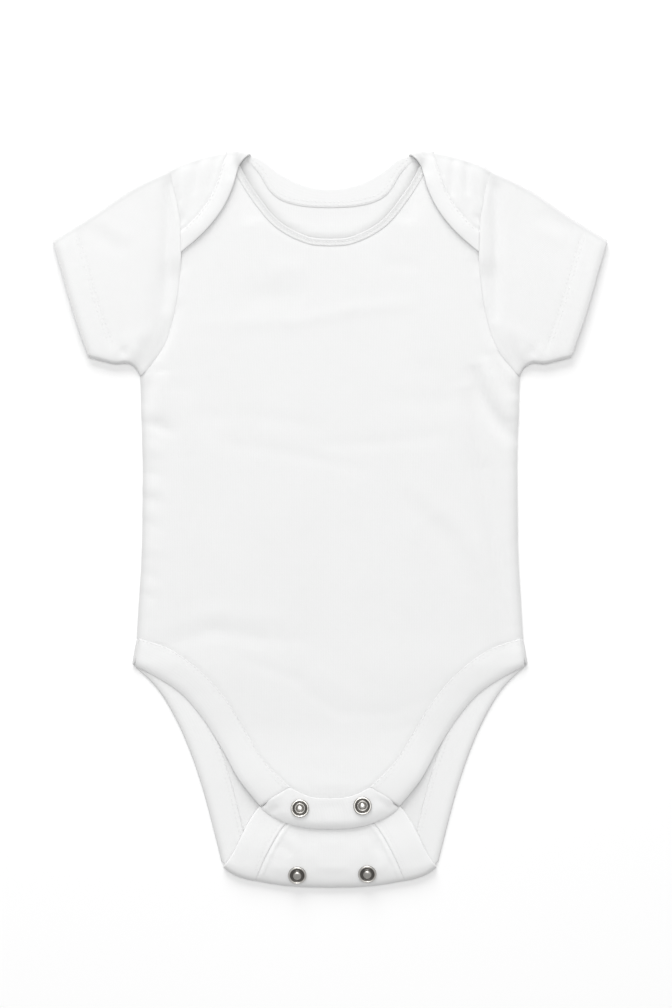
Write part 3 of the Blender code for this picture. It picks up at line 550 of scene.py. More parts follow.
@dataclass(frozen=True)
class Lie:
    """How the layers lie on each other: the heights of their middle surfaces.

    The plain heights are those of the solids; the creases and the sewing come
    on top of them.
    """

    panel_wall: float = 1.0
    binding_wall: float = 1.2
    seam_height: float = 1.9
    crown: float = 1.7
    crown_power: int = 4
    armhole_dip: float = 0.45
    armhole_power: int = 6
    armhole_blend: Pair = (70.0, 100.0)
    leg_lift: float = 0.35
    leg_blend: Pair = (60.0, 90.0)
    shoulder_round: float = 9.0
    crotch_lift: float = 2.2
    crotch_blend: Pair = (115.0, 158.0)
    flap_over_front: float = 1.5
    flap_lift: Pair = (1.3, 1.2)
    flap_lift_reach: float = 9.0
    flap_lift_start: Pair = (4.0, 22.0)
    flap_roll: float = 0.9
    flap_roll_reach: float = 7.5
    flap_roll_start: Pair = (3.0, 14.0)
    flap_foot: Pair = (1.0, 18.0)
    flap_crease_start: Pair = (0.5, 4.0)
    strap_place: float = 17.0
    strap_width: float = 7.0
    strap_hold: float = 0.5
    tongue_height: float = 2.65
    tongue_settle: Pair = (14.0, 40.0)
    tongue_crease_start: Pair = (1.0, 7.0)
    fold_inside: float = 0.55
    fold_side_height: float = 1.7
    fold_low_depth: float = 1.6
    fold_half_span: float = 62.0
    fold_top: Pair = (4.9, 3.4)
    fold_rise: Pair = (12.0, 4.0)
    fold_bend: Pair = (4.0, 1.5)

    def half_width(self, y: Array) -> Array:
        """Half the width of the garment's body.

        Args:
            y: Places along.

        Returns:
            Distances of the outline from the centre line.
        """
        outline = [CROTCH_HEM[-1]] + [Edge(band.outer_half, band.outer_height) for band in LEG_FRONT]
        outline += SIDE_SEAM[::-1] + ARMHOLE[-2::-1]
        halves, heights = np.array(outline).T
        return np.interp(y, heights, halves)

    def shoulder_height(self, x: Array) -> Array:
        """Height of the shoulder fold at a distance from the centre line."""
        halves, heights = np.array(SHOULDER_FOLD[::-1]).T
        return np.interp(np.abs(x), halves, heights)

    def crotch_height(self, x: Array) -> Array:
        """Height of the crotch fold at a distance from the centre line."""
        halves, heights = smooth_line(CROTCH_FOLD, CURVE_SAMPLES).T
        return np.interp(np.abs(x), halves, heights)

    def towards_corner(self, x: Array, sizes: Pair) -> Array:
        """A size that changes from the middle of the crotch fold to its corners."""
        ratio = np.clip(np.abs(x) / self.fold_half_span, 0.0, 1.0)
        return sizes[0] + (sizes[1] - sizes[0]) * ratio**2

    def plain_front(self, x: Array, y: Array) -> Array:
        """Front: low at its side seams, raised at the closed snaps, round at the shoulders.

        The crown is 1 less the fourth power of the share of the half width, or
        at the armholes 1 less 0.45 times its sixth power.

        Args:
            x: Places across.
            y: Places along.

        Returns:
            The heights.
        """
        ratio = np.clip(np.abs(x) / self.half_width(y), 0.0, 1.0)
        side = 1.0 - ratio**self.crown_power
        armhole = 1.0 - self.armhole_dip * ratio**self.armhole_power
        above = smoothstep(y, *self.armhole_blend)
        crown = self.crown * (side * (1 - above) + armhole * above)
        crown = crown * quarter_round((self.shoulder_height(x) - y) / self.shoulder_round)
        base = self.seam_height + self.leg_lift * smoothstep(-y, *self.leg_blend)
        return base + crown + self.crotch_lift * smoothstep(-y, *self.crotch_blend)

    def front(self, x: Array, y: Array) -> Array:
        """Front with its creases."""
        return self.plain_front(x, y) + relief(FRONT_CREASES + UNDERARM_CREASES, x, y)

    def edge_lift(self, x: Array, y: Array) -> Array:
        """How a flap stands up towards its free edge, which then rolls down to the front.

        It stands more on the left, and not at its two ends.  The lift is a bell
        curve of the distance from the edge.

        Args:
            x: Places across.
            y: Places along.

        Returns:
            What the edge adds to the height.
        """
        line = outer_line(FLAP, 60)
        gap, place = nearest(line, np.abs(x), y)
        foot = smoothstep(arc_length(line)[-1] - place, *self.flap_foot)
        lift = np.where(x < 0, *self.flap_lift) * foot * smoothstep(place, *self.flap_lift_start)
        lift = lift * np.exp(-((gap / self.flap_lift_reach) ** 2))
        from_strap = (place - self.strap_place) / self.strap_width
        over_strap = 1.0 - self.strap_hold * np.exp(-(from_strap**2))
        depth = self.flap_roll * foot * smoothstep(place, *self.flap_roll_start) * over_strap
        return lift - rolled(gap, depth, self.flap_roll_reach)

    def flap(self, x: Array, y: Array) -> Array:
        """Shoulder flap, which lies on the front and rises towards its free edge.

        Args:
            x: Places across.
            y: Places along.

        Returns:
            The heights.
        """
        shown = smoothstep(self.shoulder_height(x) - y, *self.flap_crease_start)
        folds = relief(FLAP_CREASES, x, y) * shown
        return self.plain_front(x, y) + self.flap_over_front + self.edge_lift(x, y) + folds

    def plain_tongue(self, x: Array, y: Array) -> Array:
        """Tongue: round at the crotch fold, and down on the back under the crotch band.

        A quarter circle of the depth over the rise, then a soft step down.

        Args:
            x: Places across.
            y: Places along.

        Returns:
            The heights.
        """
        depth = y - self.crotch_height(x) - self.fold_inside
        top = self.towards_corner(x, self.fold_top)
        rise = self.towards_corner(x, self.fold_rise)
        fold = self.fold_side_height + (top - self.fold_side_height) * quarter_round(depth / rise)
        return fold + (self.tongue_height - top) * smoothstep(depth, *self.tongue_settle)

    def tongue(self, x: Array, y: Array) -> Array:
        """Tongue with its creases, which fade out at the fold."""
        shown = smoothstep(y - self.crotch_height(x), *self.tongue_crease_start)
        return self.plain_tongue(x, y) + relief(TONGUE_CREASES, x, y) * shown

    def band(self, x: Array, y: Array) -> Array:
        """Crotch band: the front's level with the band's own creases."""
        return self.front(x, y) + relief(BAND_CREASES, x, y)

    def half_bend(self, line: Array, inward: Array, radius: float, low: float, level: Level) -> Array:
        """Rows round a fold of a plan curve, from the low layer to the upper one.

        Half an ellipse: it leaves the low layer, touches the fold half a wall
        inside it and meets the upper layer at its level.

        Args:
            line: Plan curve of the fold.
            inward: Unit plan vector into the garment.
            radius: Depth of the bend.
            low: Height of the low layer.
            level: Height of the upper layer.

        Returns:
            A grid of points with BEND_ROWS rows.
        """
        inner = line + inward * (self.fold_inside + radius)
        top = level(inner[:, 0], inner[:, 1])
        angle = np.linspace(-math.pi / 2, math.pi / 2, BEND_ROWS)[:, None]
        depth = self.fold_inside + radius * (1 - np.cos(angle))
        plan = line[None] + inward * depth[..., None]
        height = (low + top) / 2 + (top - low) / 2 * np.sin(angle)
        return np.concatenate([plan, height[..., None]], axis=-1)

    def crotch_bend(self, halves: Array, low: float, level: Level) -> Array:
        """Rows round the crotch fold, from the back up to the tongue.

        A quarter ellipse below the fold's side, then the rise of the tongue
        over a depth that grows with the square of the row, and drawn in by a
        hundredth of its width for each millimetre.

        Args:
            halves: Distances from the centre line.
            low: Height of the back's middle surface.
            level: Height of the tongue.

        Returns:
            A grid of points with a column for each distance.
        """
        angle = np.linspace(0.0, math.pi / 2, BEND_ROWS)[:, None]
        lower_depth = self.fold_low_depth * (1 - np.sin(angle)) + 0.0 * halves
        drop = self.fold_side_height - low
        lower_height = self.fold_side_height - drop * np.cos(angle) + 0.0 * halves
        share = np.linspace(0.0, 1.0, BEND_ROWS)[1:, None]
        upper_depth = self.towards_corner(halves, self.fold_bend) * share**2
        fold = self.crotch_height(halves) + self.fold_inside
        upper_halves = halves * (1.0 - 0.01 * upper_depth)
        upper_height = level(upper_halves, fold + upper_depth)
        across_fold = np.concatenate([halves + 0.0 * lower_depth, upper_halves])
        depth = np.concatenate([lower_depth, upper_depth])
        height = np.concatenate([lower_height, upper_height])
        return np.stack([across_fold, fold + depth, height], axis=-1)


LIE = Lie()


def raised(plan: Array, level: Level) -> Array:
    """A plan grid at the height that level gives for each point."""
    height = level(plan[..., 0], plan[..., 1])
    return np.concatenate([plan, height[..., None]], axis=-1)


def at_height(plan: Array, height: float) -> Array:
    """A plan grid at one height."""
    return np.concatenate([plan, np.full(plan.shape[:-1] + (1,), height)], axis=-1)


# Meshes


class Surface(NamedTuple):
    """Points of a surface, their places on the flat cut, and its faces."""

    points: Array
    cut: Array
    faces: Array

    def turned(self, side: Side) -> "Surface":
        """This surface of the right half, moved to a half."""
        return self._replace(points=side.turn(self.points))


def row_lengths(grid: Array) -> Array:
    """Distance along each row of a grid to each of its points."""
    steps = np.linalg.norm(np.diff(grid, axis=1), axis=2)
    return np.concatenate([np.zeros((len(grid), 1)), np.cumsum(steps, axis=1)], axis=1)


def grid_faces(rows: int, columns: int, closed: bool) -> Array:
    """Quads of a grid.

    Args:
        rows: Number of rows.
        columns: Number of columns.
        closed: Whether the last column joins the first one.

    Returns:
        Four point numbers for each quad.
    """
    spans = columns if closed else columns - 1
    row, column = np.meshgrid(np.arange(rows - 1), np.arange(spans), indexing="ij")
    start = row * columns + column
    side = row * columns + (column + 1) % columns
    return np.stack([start, side, side + columns, start + columns], axis=-1).reshape(-1, 4)


def cut_places(grid: Array) -> Array:
    """Places of a grid's points on the flat cut.

    Across, the place is the length of the row from its middle point.  Along, it
    is the length of the middle column, plus the rest of the height in the plan.

    Args:
        grid: Points of the cloth.

    Returns:
        The two places of each point.
    """
    row_length = row_lengths(grid)
    middle = grid.shape[1] // 2
    wide = row_length - row_length[:, middle : middle + 1]
    spine = grid[:, middle]
    way = np.sign(spine[-1, 1] - spine[0, 1])
    tall = arc_length(spine)[:, None] + way * (grid[..., 1] - spine[:, 1:2])
    return np.stack([wide, tall], axis=-1)


def strip_places(grid: Array) -> Array:
    """Places on the cut of a long strip: across it, and along its middle line."""
    along = arc_length(grid[:, grid.shape[1] // 2])[:, None]
    return np.stack([row_lengths(grid), np.broadcast_to(along, grid.shape[:2])], axis=-1)


def joined(surfaces: Sequence[Surface]) -> Surface:
    """Several surfaces as one, still with their own points.

    Args:
        surfaces: The surfaces, in order.

    Returns:
        One surface.
    """
    starts = np.cumsum([0] + [len(surface.points) for surface in surfaces[:-1]])
    return Surface(
        np.concatenate([surface.points for surface in surfaces]),
        np.concatenate([surface.cut for surface in surfaces]),
        np.concatenate([surface.faces + start for surface, start in zip(surfaces, starts)]),
    )


def sheet_surface(grid: Array) -> Surface:
    """An open grid of cloth points as a surface."""
    faces = grid_faces(grid.shape[0], grid.shape[1], False)
    return Surface(grid.reshape(-1, 3), cut_places(grid).reshape(-1, 2), faces)


def surface_normals(grid: Array) -> Array:
    """Unit normals of a grid: the cross product of its column and row steps."""
    normal = np.cross(np.gradient(grid, axis=1), np.gradient(grid, axis=0))
    return normal / np.maximum(np.linalg.norm(normal, axis=2), 1e-9)[..., None]


def shell_surface(grid: Array, thickness: Array, swell: Array) -> Surface:
    """A closed shell round a grid of middle points, tapering to nothing at its borders.

    The outer points stand half the thickness and the swell out along the
    normals, the inner points half the thickness in.  The outer side is the one
    that faces up in the first rows.

    Args:
        grid: Middle points, rows along and columns across.
        thickness: Wall at each point, zero at the borders.
        swell: Extra height of the outer side at each point.

    Returns:
        The closed surface, with the borders' points doubled.
    """
    normal = surface_normals(grid)
    normal = normal * np.sign(normal[:6, :, 2].mean())
    outer = grid + normal * (thickness / 2 + swell)[..., None]
    inner = grid - normal * (thickness / 2)[..., None]
    ring = np.concatenate([outer, inner[:, -2:0:-1]], axis=1)
    places = strip_places(grid)
    cut = np.concatenate([places, places[:, -2:0:-1]], axis=1)
    faces = grid_faces(ring.shape[0], ring.shape[1], True)
    return Surface(ring.reshape(-1, 3), cut.reshape(-1, 2), faces)


def rounded_wall(gap: Array, wall: float) -> Array:
    """Wall at a distance from its edge: half a circle, then level."""
    return wall * quarter_round(gap / (wall / 2))


def sharpen_borders(mesh: bpy.types.Mesh) -> None:
    """Mark the edges of one face only as sharp, so that the wall there has its own shade.

    Args:
        mesh: An open mesh.
    """
    edge_of_corner = np.empty(len(mesh.loops), dtype=np.int32)
    mesh.loops.foreach_get("edge_index", edge_of_corner)
    uses = np.bincount(edge_of_corner, minlength=len(mesh.edges))
    mesh.edges.foreach_set("use_edge_sharp", uses == 1)


def mark_rim(mesh: bpy.types.Mesh) -> None:
    """Store painted shade: how near each vertex is to the garment's outline or its front neck's free edge.

    The value is the bell curve of the plan distance over PAINTED_RIM_SHADE_WIDTH.

    Args:
        mesh: The mesh, which gets the attribute PAINTED_RIM_SHADE_MAP.
    """
    places = np.empty(len(mesh.vertices) * 3, dtype=np.float32)
    mesh.vertices.foreach_get("co", places)
    x, y = places.reshape(-1, 3)[:, :2].astype(float).T / MM
    leg = [Edge(*band[:2]) for band in LEG_BACK[::-1]]
    outline = [CROTCH_FOLD, leg, SIDE_SEAM[::-1], SLEEVE_LOW_LINE, SLEEVE_HEM[::-1]]
    outline += [SLEEVE_TOP_LINE[::-1], SHOULDER_FOLD]
    smooth = np.concatenate([smooth_line(line, 30) for line in outline])
    neck = inset(smooth_line(FRONT_NECK_SEAM, 60), SHEARS.neck_front_binding)
    gap = np.minimum(nearest(smooth, np.abs(x), y)[0], nearest(neck, np.abs(x), y)[0])
    rim = mesh.attributes.new(PAINTED_RIM_SHADE_MAP, "FLOAT", "POINT")
    rim.data.foreach_set("value", np.exp(-((gap / PAINTED_RIM_SHADE_WIDTH) ** 2)).astype(np.float32))


def new_piece(name: str, surface: Surface, material: Material, wall: float = 0.0) -> Object:
    """Link a smooth object made from a surface, with the wall of its cloth.

    Args:
        name: The object's name.
        surface: The surface, in millimetres.
        material: The finish of all of it.
        wall: Thickness that a Solidify modifier gives an open surface.

    Returns:
        The object, at the origin.
    """
    mesh = bpy.data.meshes.new(name)
    mesh.from_pydata(surface.points * MM, [], surface.faces)
    corner_vertex = np.empty(len(mesh.loops), dtype=np.int32)
    mesh.loops.foreach_get("vertex_index", corner_vertex)
    layer = mesh.uv_layers.new(name=CUT_MAP)
    layer.data.foreach_set("uv", (surface.cut[corner_vertex] * MM).astype(np.float32).ravel())
    shape = bmesh.new()
    shape.from_mesh(mesh)
    bmesh.ops.remove_doubles(shape, verts=shape.verts, dist=0.01 * MM)
    bmesh.ops.dissolve_degenerate(shape, edges=shape.edges, dist=0.001 * MM)
    bmesh.ops.recalc_face_normals(shape, faces=shape.faces)
    shape.to_mesh(mesh)
    shape.free()
    # painted shade along the outline, stored for the cloth's colour
    mark_rim(mesh)
    mesh.materials.append(material)
    mesh.shade_smooth()
    item = bpy.data.objects.new(name, mesh)
    bpy.context.collection.objects.link(item)
    if wall > 0:
        sharpen_borders(mesh)
        solidify = item.modifiers.new("wall", "SOLIDIFY")
        solidify.thickness = wall * MM
        solidify.offset = 0.0
        even = item.modifiers.new("even shading", "WEIGHTED_NORMAL")
        even.weight = 95
        even.keep_sharp = True
    LOG.info("%s: %d faces", name, len(mesh.polygons))
    return item


# Finishes


class NodeSheet:
    """A material's node tree, with short calls to add and join its nodes."""

    def __init__(self, name: str) -> None:
        """Start a material that has only its Principled BSDF and output.

        Args:
            name: The material's name.
        """
        self.material = bpy.data.materials.new(name)
        self.material.use_nodes = True
        self.tree = self.material.node_tree
        self.shader = self.tree.nodes["Principled BSDF"]

    def add(self, kind: str, **values: object) -> bpy.types.Node:
        """Add a node and set its properties.

        Args:
            kind: Blender's name for the type of node.
            **values: Properties of the node.

        Returns:
            The node.
        """
        node = self.tree.nodes.new(kind)
        for key, value in values.items():
            setattr(node, key, value)
        return node

    def join(self, source: Socket, target: Socket) -> None:
        """Link one socket to another."""
        self.tree.links.new(source, target)

    def math(self, operation: str, first: object, second: object = 0.0) -> Socket:
        """A Math node of two values.

        Args:
            operation: Blender's name for the operation.
            first: A number or a socket.
            second: A number or a socket.

        Returns:
            The result's socket.
        """
        node = self.add("ShaderNodeMath", operation=operation)
        for socket, value in zip(node.inputs, (first, second)):
            if isinstance(value, Socket):
                self.join(value, socket)
            else:
                socket.default_value = value
        return node.outputs[0]

    def set(self, **values: object) -> None:
        """Set constants on the shader's own sockets, named with _ for spaces."""
        for key, value in values.items():
            self.shader.inputs[key.replace("_", " ")].default_value = value

    def noise(self, vector: Socket, scale: float, detail: float) -> Socket:
        """A noise field over a vector.

        Args:
            vector: Socket of the places.
            scale: Features in a metre.
            detail: Octaves of finer noise.

        Returns:
            The field's socket, from 0 to 1.
        """
        node = self.add("ShaderNodeTexNoise")
        node.inputs["Scale"].default_value = scale
        node.inputs["Detail"].default_value = detail
        self.join(vector, node.inputs["Vector"])
        return node.outputs["Fac"]

    def blend(self, amount: Socket, first: object, second: Sequence[float]) -> Socket:
        """Give the shader a base colour between two colours.

        Args:
            amount: Socket of the second colour's share.
            first: A colour, or the socket of one.
            second: A colour.

        Returns:
            The socket of the blended colour.
        """
        mix = self.add("ShaderNodeMix", data_type="RGBA")
        colour_a, colour_b = [socket for socket in mix.inputs if socket.type == "RGBA"]
        if isinstance(first, Socket):
            self.join(first, colour_a)
        else:
            colour_a.default_value = (*first, 1.0)
        colour_b.default_value = (*second, 1.0)
        self.join(amount, mix.inputs["Factor"])
        output = [socket for socket in mix.outputs if socket.type == "RGBA"][0]
        self.join(output, self.shader.inputs["Base Color"])
        return output

    def bump(self, height: Socket, depth: float, strength: float) -> None:
        """Raise the surface by a height field.

        Args:
            height: The field's socket.
            depth: What a height of 1 stands for, in metres.
            strength: Share of the relief that shows.
        """
        node = self.add("ShaderNodeBump")
        node.inputs["Distance"].default_value = depth
        node.inputs["Strength"].default_value = strength
        self.join(height, node.inputs["Height"])
        self.join(node.outputs["Normal"], self.shader.inputs["Normal"])


class Knit(Enum):
    """How the yarn runs in a cloth."""

    JERSEY = "jersey"
    RIB = "rib"


@dataclass(frozen=True)
class KnitFinish:
    """White cotton knit: wales of small chevrons, or fine ribs, on a soft fuzz.

    It has painted shade along the garment's outline and the front neck's free edge, where the cloth turns
    away from the light.
    """

    name: str
    knit: Knit
    shade: Triple
    light: Triple
    wale: float = 0.95
    course: float = 0.72
    depth: float = 0.022
    roughness: float = 0.92
    sheen: float = 0.12
    glow: float = 0.45
    glow_depth: float = 1.2
    chevron_slant: float = 1.3
    fuzz_scale: float = 900.0
    cloud_scale: float = 38.0
    # Painted shade along the outline: the grey's share at the edge, and the grey
    rim_share: float = 0.42
    rim_colour: Triple = (0.48, 0.48, 0.48)

    def material(self) -> Material:
        """The knit as a material that follows the cut of each piece.

        A jersey's height is a sine along the course, shifted by the distance
        from the middle of the wale, so that it draws chevrons, times the
        rounding of the wale.  A rib's is mostly the rounding, twice as wide.

        Returns:
            The material.
        """
        sheet = NodeSheet(self.name)
        places = sheet.add("ShaderNodeUVMap", uv_map=CUT_MAP).outputs["UV"]
        split = sheet.add("ShaderNodeSeparateXYZ")
        sheet.join(places, split.inputs[0])
        wide = self.wale * MM * (2.0 if self.knit is Knit.RIB else 1.0)
        wale = sheet.math("FRACT", sheet.math("DIVIDE", split.outputs["X"], wide))
        from_middle = sheet.math("ABSOLUTE", sheet.math("SUBTRACT", wale, 0.5))
        rounding = sheet.math("COSINE", sheet.math("MULTIPLY", from_middle, math.pi))
        course = sheet.math("DIVIDE", split.outputs["Y"], self.course * MM)
        slant = sheet.math("ADD", course, sheet.math("MULTIPLY", from_middle, self.chevron_slant))
        chevron = sheet.math("SINE", sheet.math("MULTIPLY", slant, 2 * math.pi))
        share = 0.25 if self.knit is Knit.RIB else 0.5
        stitch = sheet.math("ADD", sheet.math("MULTIPLY", chevron, share), rounding)
        coordinates = sheet.add("ShaderNodeTexCoord").outputs["Object"]
        fuzz = sheet.noise(coordinates, self.fuzz_scale, 3.0)
        height = sheet.math("ADD", stitch, sheet.math("MULTIPLY", fuzz, 0.8))
        sheet.bump(height, self.depth * MM, 0.5)
        plain = sheet.blend(sheet.noise(coordinates, self.cloud_scale, 4.0), self.shade, self.light)
        # Painted shade: near the outline the base colour is blended towards a grey
        rim = sheet.add("ShaderNodeAttribute", attribute_name=PAINTED_RIM_SHADE_MAP).outputs["Fac"]
        sheet.blend(sheet.math("MULTIPLY", rim, self.rim_share), plain, self.rim_colour)
        sheet.set(Roughness=self.roughness, Sheen_Weight=self.sheen, Sheen_Roughness=0.5)
        sheet.set(Specular_IOR_Level=0.2, Subsurface_Weight=self.glow, Subsurface_Radius=(1.0, 1.0, 1.0))
        sheet.set(Subsurface_Scale=self.glow_depth * MM)
        return sheet.material


@dataclass(frozen=True)
class ThreadFinish:
    """Twisted white sewing thread, a little glossier than the cloth."""

    name: str = "white_thread"
    colour: Triple = (0.82, 0.82, 0.815)
    hollow_share: float = 0.985
    twist: float = 0.3

    def material(self) -> Material:
        """The thread, with its twist as fine slanting ridges.

        Returns:
            The material.
        """
        sheet = NodeSheet(self.name)
        coordinates = sheet.add("ShaderNodeTexCoord").outputs["Object"]
        wave = sheet.add("ShaderNodeTexWave", bands_direction="DIAGONAL")
        wave.inputs["Scale"].default_value = 1.0 / (self.twist * MM) / 20
        sheet.join(coordinates, wave.inputs["Vector"])
        sheet.bump(wave.outputs["Fac"], 0.02 * MM, 0.4)
        hollow = [part * self.hollow_share for part in self.colour]
        sheet.blend(sheet.noise(coordinates, 60.0, 2.0), hollow, self.colour)
        sheet.set(Roughness=0.6, Sheen_Weight=0.1)
        return sheet.material


@dataclass(frozen=True)
class MetalFinish:
    """Nickel-plated snap metal with fine turning marks and dull patches, and rings of painted shade in its
    recesses, on a stud's dome and round its outer edge.
    """

    name: str
    colour: Triple
    dark: Triple
    roughness: float
    # Painted shade: rings of inner radius, outer radius and darkness, in millimetres
    grooves: tuple[Triple, ...] = ()
    groove_colour: Triple = (0.07, 0.065, 0.06)
    groove_edge: float = 6.0

    def groove_mask(self, sheet: NodeSheet) -> Socket:
        """How dark the painted shade of each ring is between its two radii, with soft borders.

        The radius comes from the turned part's own map, whose unit is the metre.

        Args:
            sheet: The metal's node tree.

        Returns:
            The socket of the painted shade's share.
        """
        places = sheet.add("ShaderNodeUVMap", uv_map=CUT_MAP).outputs["UV"]
        length = sheet.add("ShaderNodeVectorMath", operation="LENGTH")
        sheet.join(places, length.inputs[0])
        radius = sheet.math("DIVIDE", length.outputs["Value"], MM)
        mask = sheet.math("MULTIPLY", radius, 0.0)
        for inner, outer, darkness in self.grooves:
            past = sheet.math("MULTIPLY", sheet.math("SUBTRACT", radius, inner), self.groove_edge)
            before = sheet.math("MULTIPLY", sheet.math("SUBTRACT", outer, radius), self.groove_edge)
            within = sheet.math("MAXIMUM", sheet.math("MINIMUM", past, before), 0.0)
            mask = sheet.math("MAXIMUM", mask, sheet.math("MINIMUM", within, darkness))
        return mask

    def material(self) -> Material:
        """The plated metal.

        Returns:
            The material.
        """
        sheet = NodeSheet(self.name)
        coordinates = sheet.add("ShaderNodeTexCoord").outputs["Object"]
        fine = sheet.noise(coordinates, 2600.0, 3.0)
        patches = sheet.noise(coordinates, 420.0, 3.0)
        plated = sheet.blend(patches, self.dark, self.colour)
        if self.grooves:
            # painted shade: the rings darken the plated colour
            sheet.blend(self.groove_mask(sheet), plated, self.groove_colour)
        spread = sheet.add("ShaderNodeMapRange")
        spread.inputs["To Min"].default_value = self.roughness - 0.06
        spread.inputs["To Max"].default_value = self.roughness + 0.1
        sheet.join(patches, spread.inputs["Value"])
        sheet.join(spread.outputs["Result"], sheet.shader.inputs["Roughness"])
        sheet.bump(fine, 0.01 * MM, 0.3)
        sheet.set(Metallic=1.0)
        return sheet.material


@dataclass(frozen=True)
class FloorFinish:
    """Matt white paper that the garment lies on."""

    name: str = "white_paper"
    colour: Triple = (0.935, 0.935, 0.935)
    hollow_share: float = 0.998

    def material(self) -> Material:
        """The paper, with a grain too fine to see from above.

        Returns:
            The material.
        """
        sheet = NodeSheet(self.name)
        coordinates = sheet.add("ShaderNodeTexCoord").outputs["Object"]
        hollow = [part * self.hollow_share for part in self.colour]
        sheet.blend(sheet.noise(coordinates, 300.0, 2.0), hollow, self.colour)
        sheet.set(Roughness=0.95, Specular_IOR_Level=0.1)
        return sheet.material


@dataclass
class Finishes:
    """Every material of the garment, made once."""

    jersey: Material = field(init=False)
    rib: Material = field(init=False)
    thread: Material = field(init=False)
    nickel: Material = field(init=False)
    stud_nickel: Material = field(init=False)
    hidden_nickel: Material = field(init=False)

    def __post_init__(self) -> None:
        """Make the materials from their finishes."""
        white, bright = (0.788, 0.79, 0.788), (0.808, 0.81, 0.81)
        self.jersey = KnitFinish("jersey_cloth", Knit.JERSEY, white, bright).material()
        white, bright = (0.795, 0.797, 0.795), (0.813, 0.815, 0.815)
        self.rib = KnitFinish("rib_cloth", Knit.RIB, white, bright, wale=0.8).material()
        self.thread = ThreadFinish().material()
        plate = ((0.88, 0.86, 0.82), (0.66, 0.64, 0.6), 0.32)
        # Rings of painted shade on the snaps: a line round the outer edge, and on the caps the recesses and
        # the inner ring, on the studs the recess and the dome
        outline = (4.9, 6.0, 0.8)
        rings = ((1.35, 2.1, 0.8), (2.0, 3.3, 0.5), (3.2, 4.15, 0.93), outline)
        self.nickel = MetalFinish("nickel_plate", *plate, rings).material()
        rings = ((-1.0, 2.5, 0.35), (2.35, 4.0, 0.88), outline)
        self.stud_nickel = MetalFinish("nickel_stud", *plate, rings).material()
        self.hidden_nickel = MetalFinish("dull_nickel", (0.5, 0.48, 0.45), (0.36, 0.34, 0.31), 0.4).material()


# Sewing


@dataclass(frozen=True)
class Stitching:
    """Rows of short thread loops that lie in the top of the cloth."""

    length: float = 1.9
    pitch: float = 2.5
    thread: float = 0.34
    proud: float = 0.02
    sides: int = 6
    flatness: float = 0.8
    slope_reach: float = 0.4

    def loop(self) -> Array:
        """One loop lying along X, as rings of points.

        The radius is half the thread times the root of 1 - a to the fourth, and
        the loop sinks by 0.7 threads times a squared, with a from -1 to 1.

        Returns:
            A grid of points with a row for each ring.
        """
        a = np.array([-1.0, -0.8, -0.3, 0.3, 0.8, 1.0])[:, None]
        turn = np.linspace(0.0, 2 * math.pi, self.sides, endpoint=False)[None, :]
        radius = self.thread / 2 * np.sqrt(1 - a**4)
        lie = self.proud - self.thread * 0.7 * a**2
        along = self.length / 2 * a + 0.0 * turn
        return np.stack([along, radius * np.cos(turn), radius * np.sin(turn) * self.flatness + lie], axis=-1)

    def row(self, line: Array, level: Level, wall: float) -> Surface:
        """One row of loops along a plan line.

        Each loop is turned to the line's direction and the cloth's normal,
        which comes from the level's slopes across slope_reach.

        Args:
            line: Plan points of the row.
            level: Height of the cloth's middle surface.
            wall: Thickness of the cloth.

        Returns:
            All the loops as one surface.
        """
        count = max(int(arc_length(line)[-1] / self.pitch), 1)
        shares = (np.arange(count) + 0.5) / count
        middle = spaced(line, shares)
        step = spaced(line, shares + 0.3 / count) - spaced(line, shares - 0.3 / count)
        step /= np.linalg.norm(step, axis=1)[:, None]
        x, y = middle.T
        reach = self.slope_reach
        slope_x = (level(x + reach, y) - level(x - reach, y)) / (2 * reach)
        slope_y = (level(x, y + reach) - level(x, y - reach)) / (2 * reach)
        normal = np.stack([-slope_x, -slope_y, np.ones(count)], axis=1)
        normal /= np.linalg.norm(normal, axis=1)[:, None]
        tangent = np.concatenate([step, (step[:, 0] * slope_x + step[:, 1] * slope_y)[:, None]], axis=1)
        tangent /= np.linalg.norm(tangent, axis=1)[:, None]
        aside = np.cross(normal, tangent)
        origin = np.stack([x, y, level(x, y)], axis=1) + normal * wall / 2
        loop = self.loop()
        rings = loop.shape[0]
        flat = loop.reshape(-1, 3)
        points = (
            origin[:, None]
            + flat[None, :, 0:1] * tangent[:, None]
            + flat[None, :, 1:2] * aside[:, None]
            + flat[None, :, 2:3] * normal[:, None]
        )
        faces = grid_faces(rings, self.sides, True)
        starts = np.arange(count)[:, None, None] * len(flat)
        cut = np.broadcast_to(flat[None, :, :2], (count, len(flat), 2))
        return Surface(points.reshape(-1, 3), cut.reshape(-1, 2), (faces[None] + starts).reshape(-1, 4))

    def twin(self, line: Array, gauge: float, level: Level, wall: float) -> list[Surface]:
        """Two rows, half the gauge to each side of a plan line."""
        return [self.row(inset(line, side * gauge / 2), level, wall) for side in (-1.0, 1.0)]


def stitch_grooves(
    from_seam: Array, gap: Array, rows: Sequence[float], depth: float, width: float, clear: float
) -> Array:
    """Height of the grooves that stitch rows press in: bell curves that fade near an edge."""
    bells = sum(np.exp(-(((from_seam - row) / width) ** 2)) for row in rows)
    return -depth * bells * smoothstep(gap, 0.0, clear)


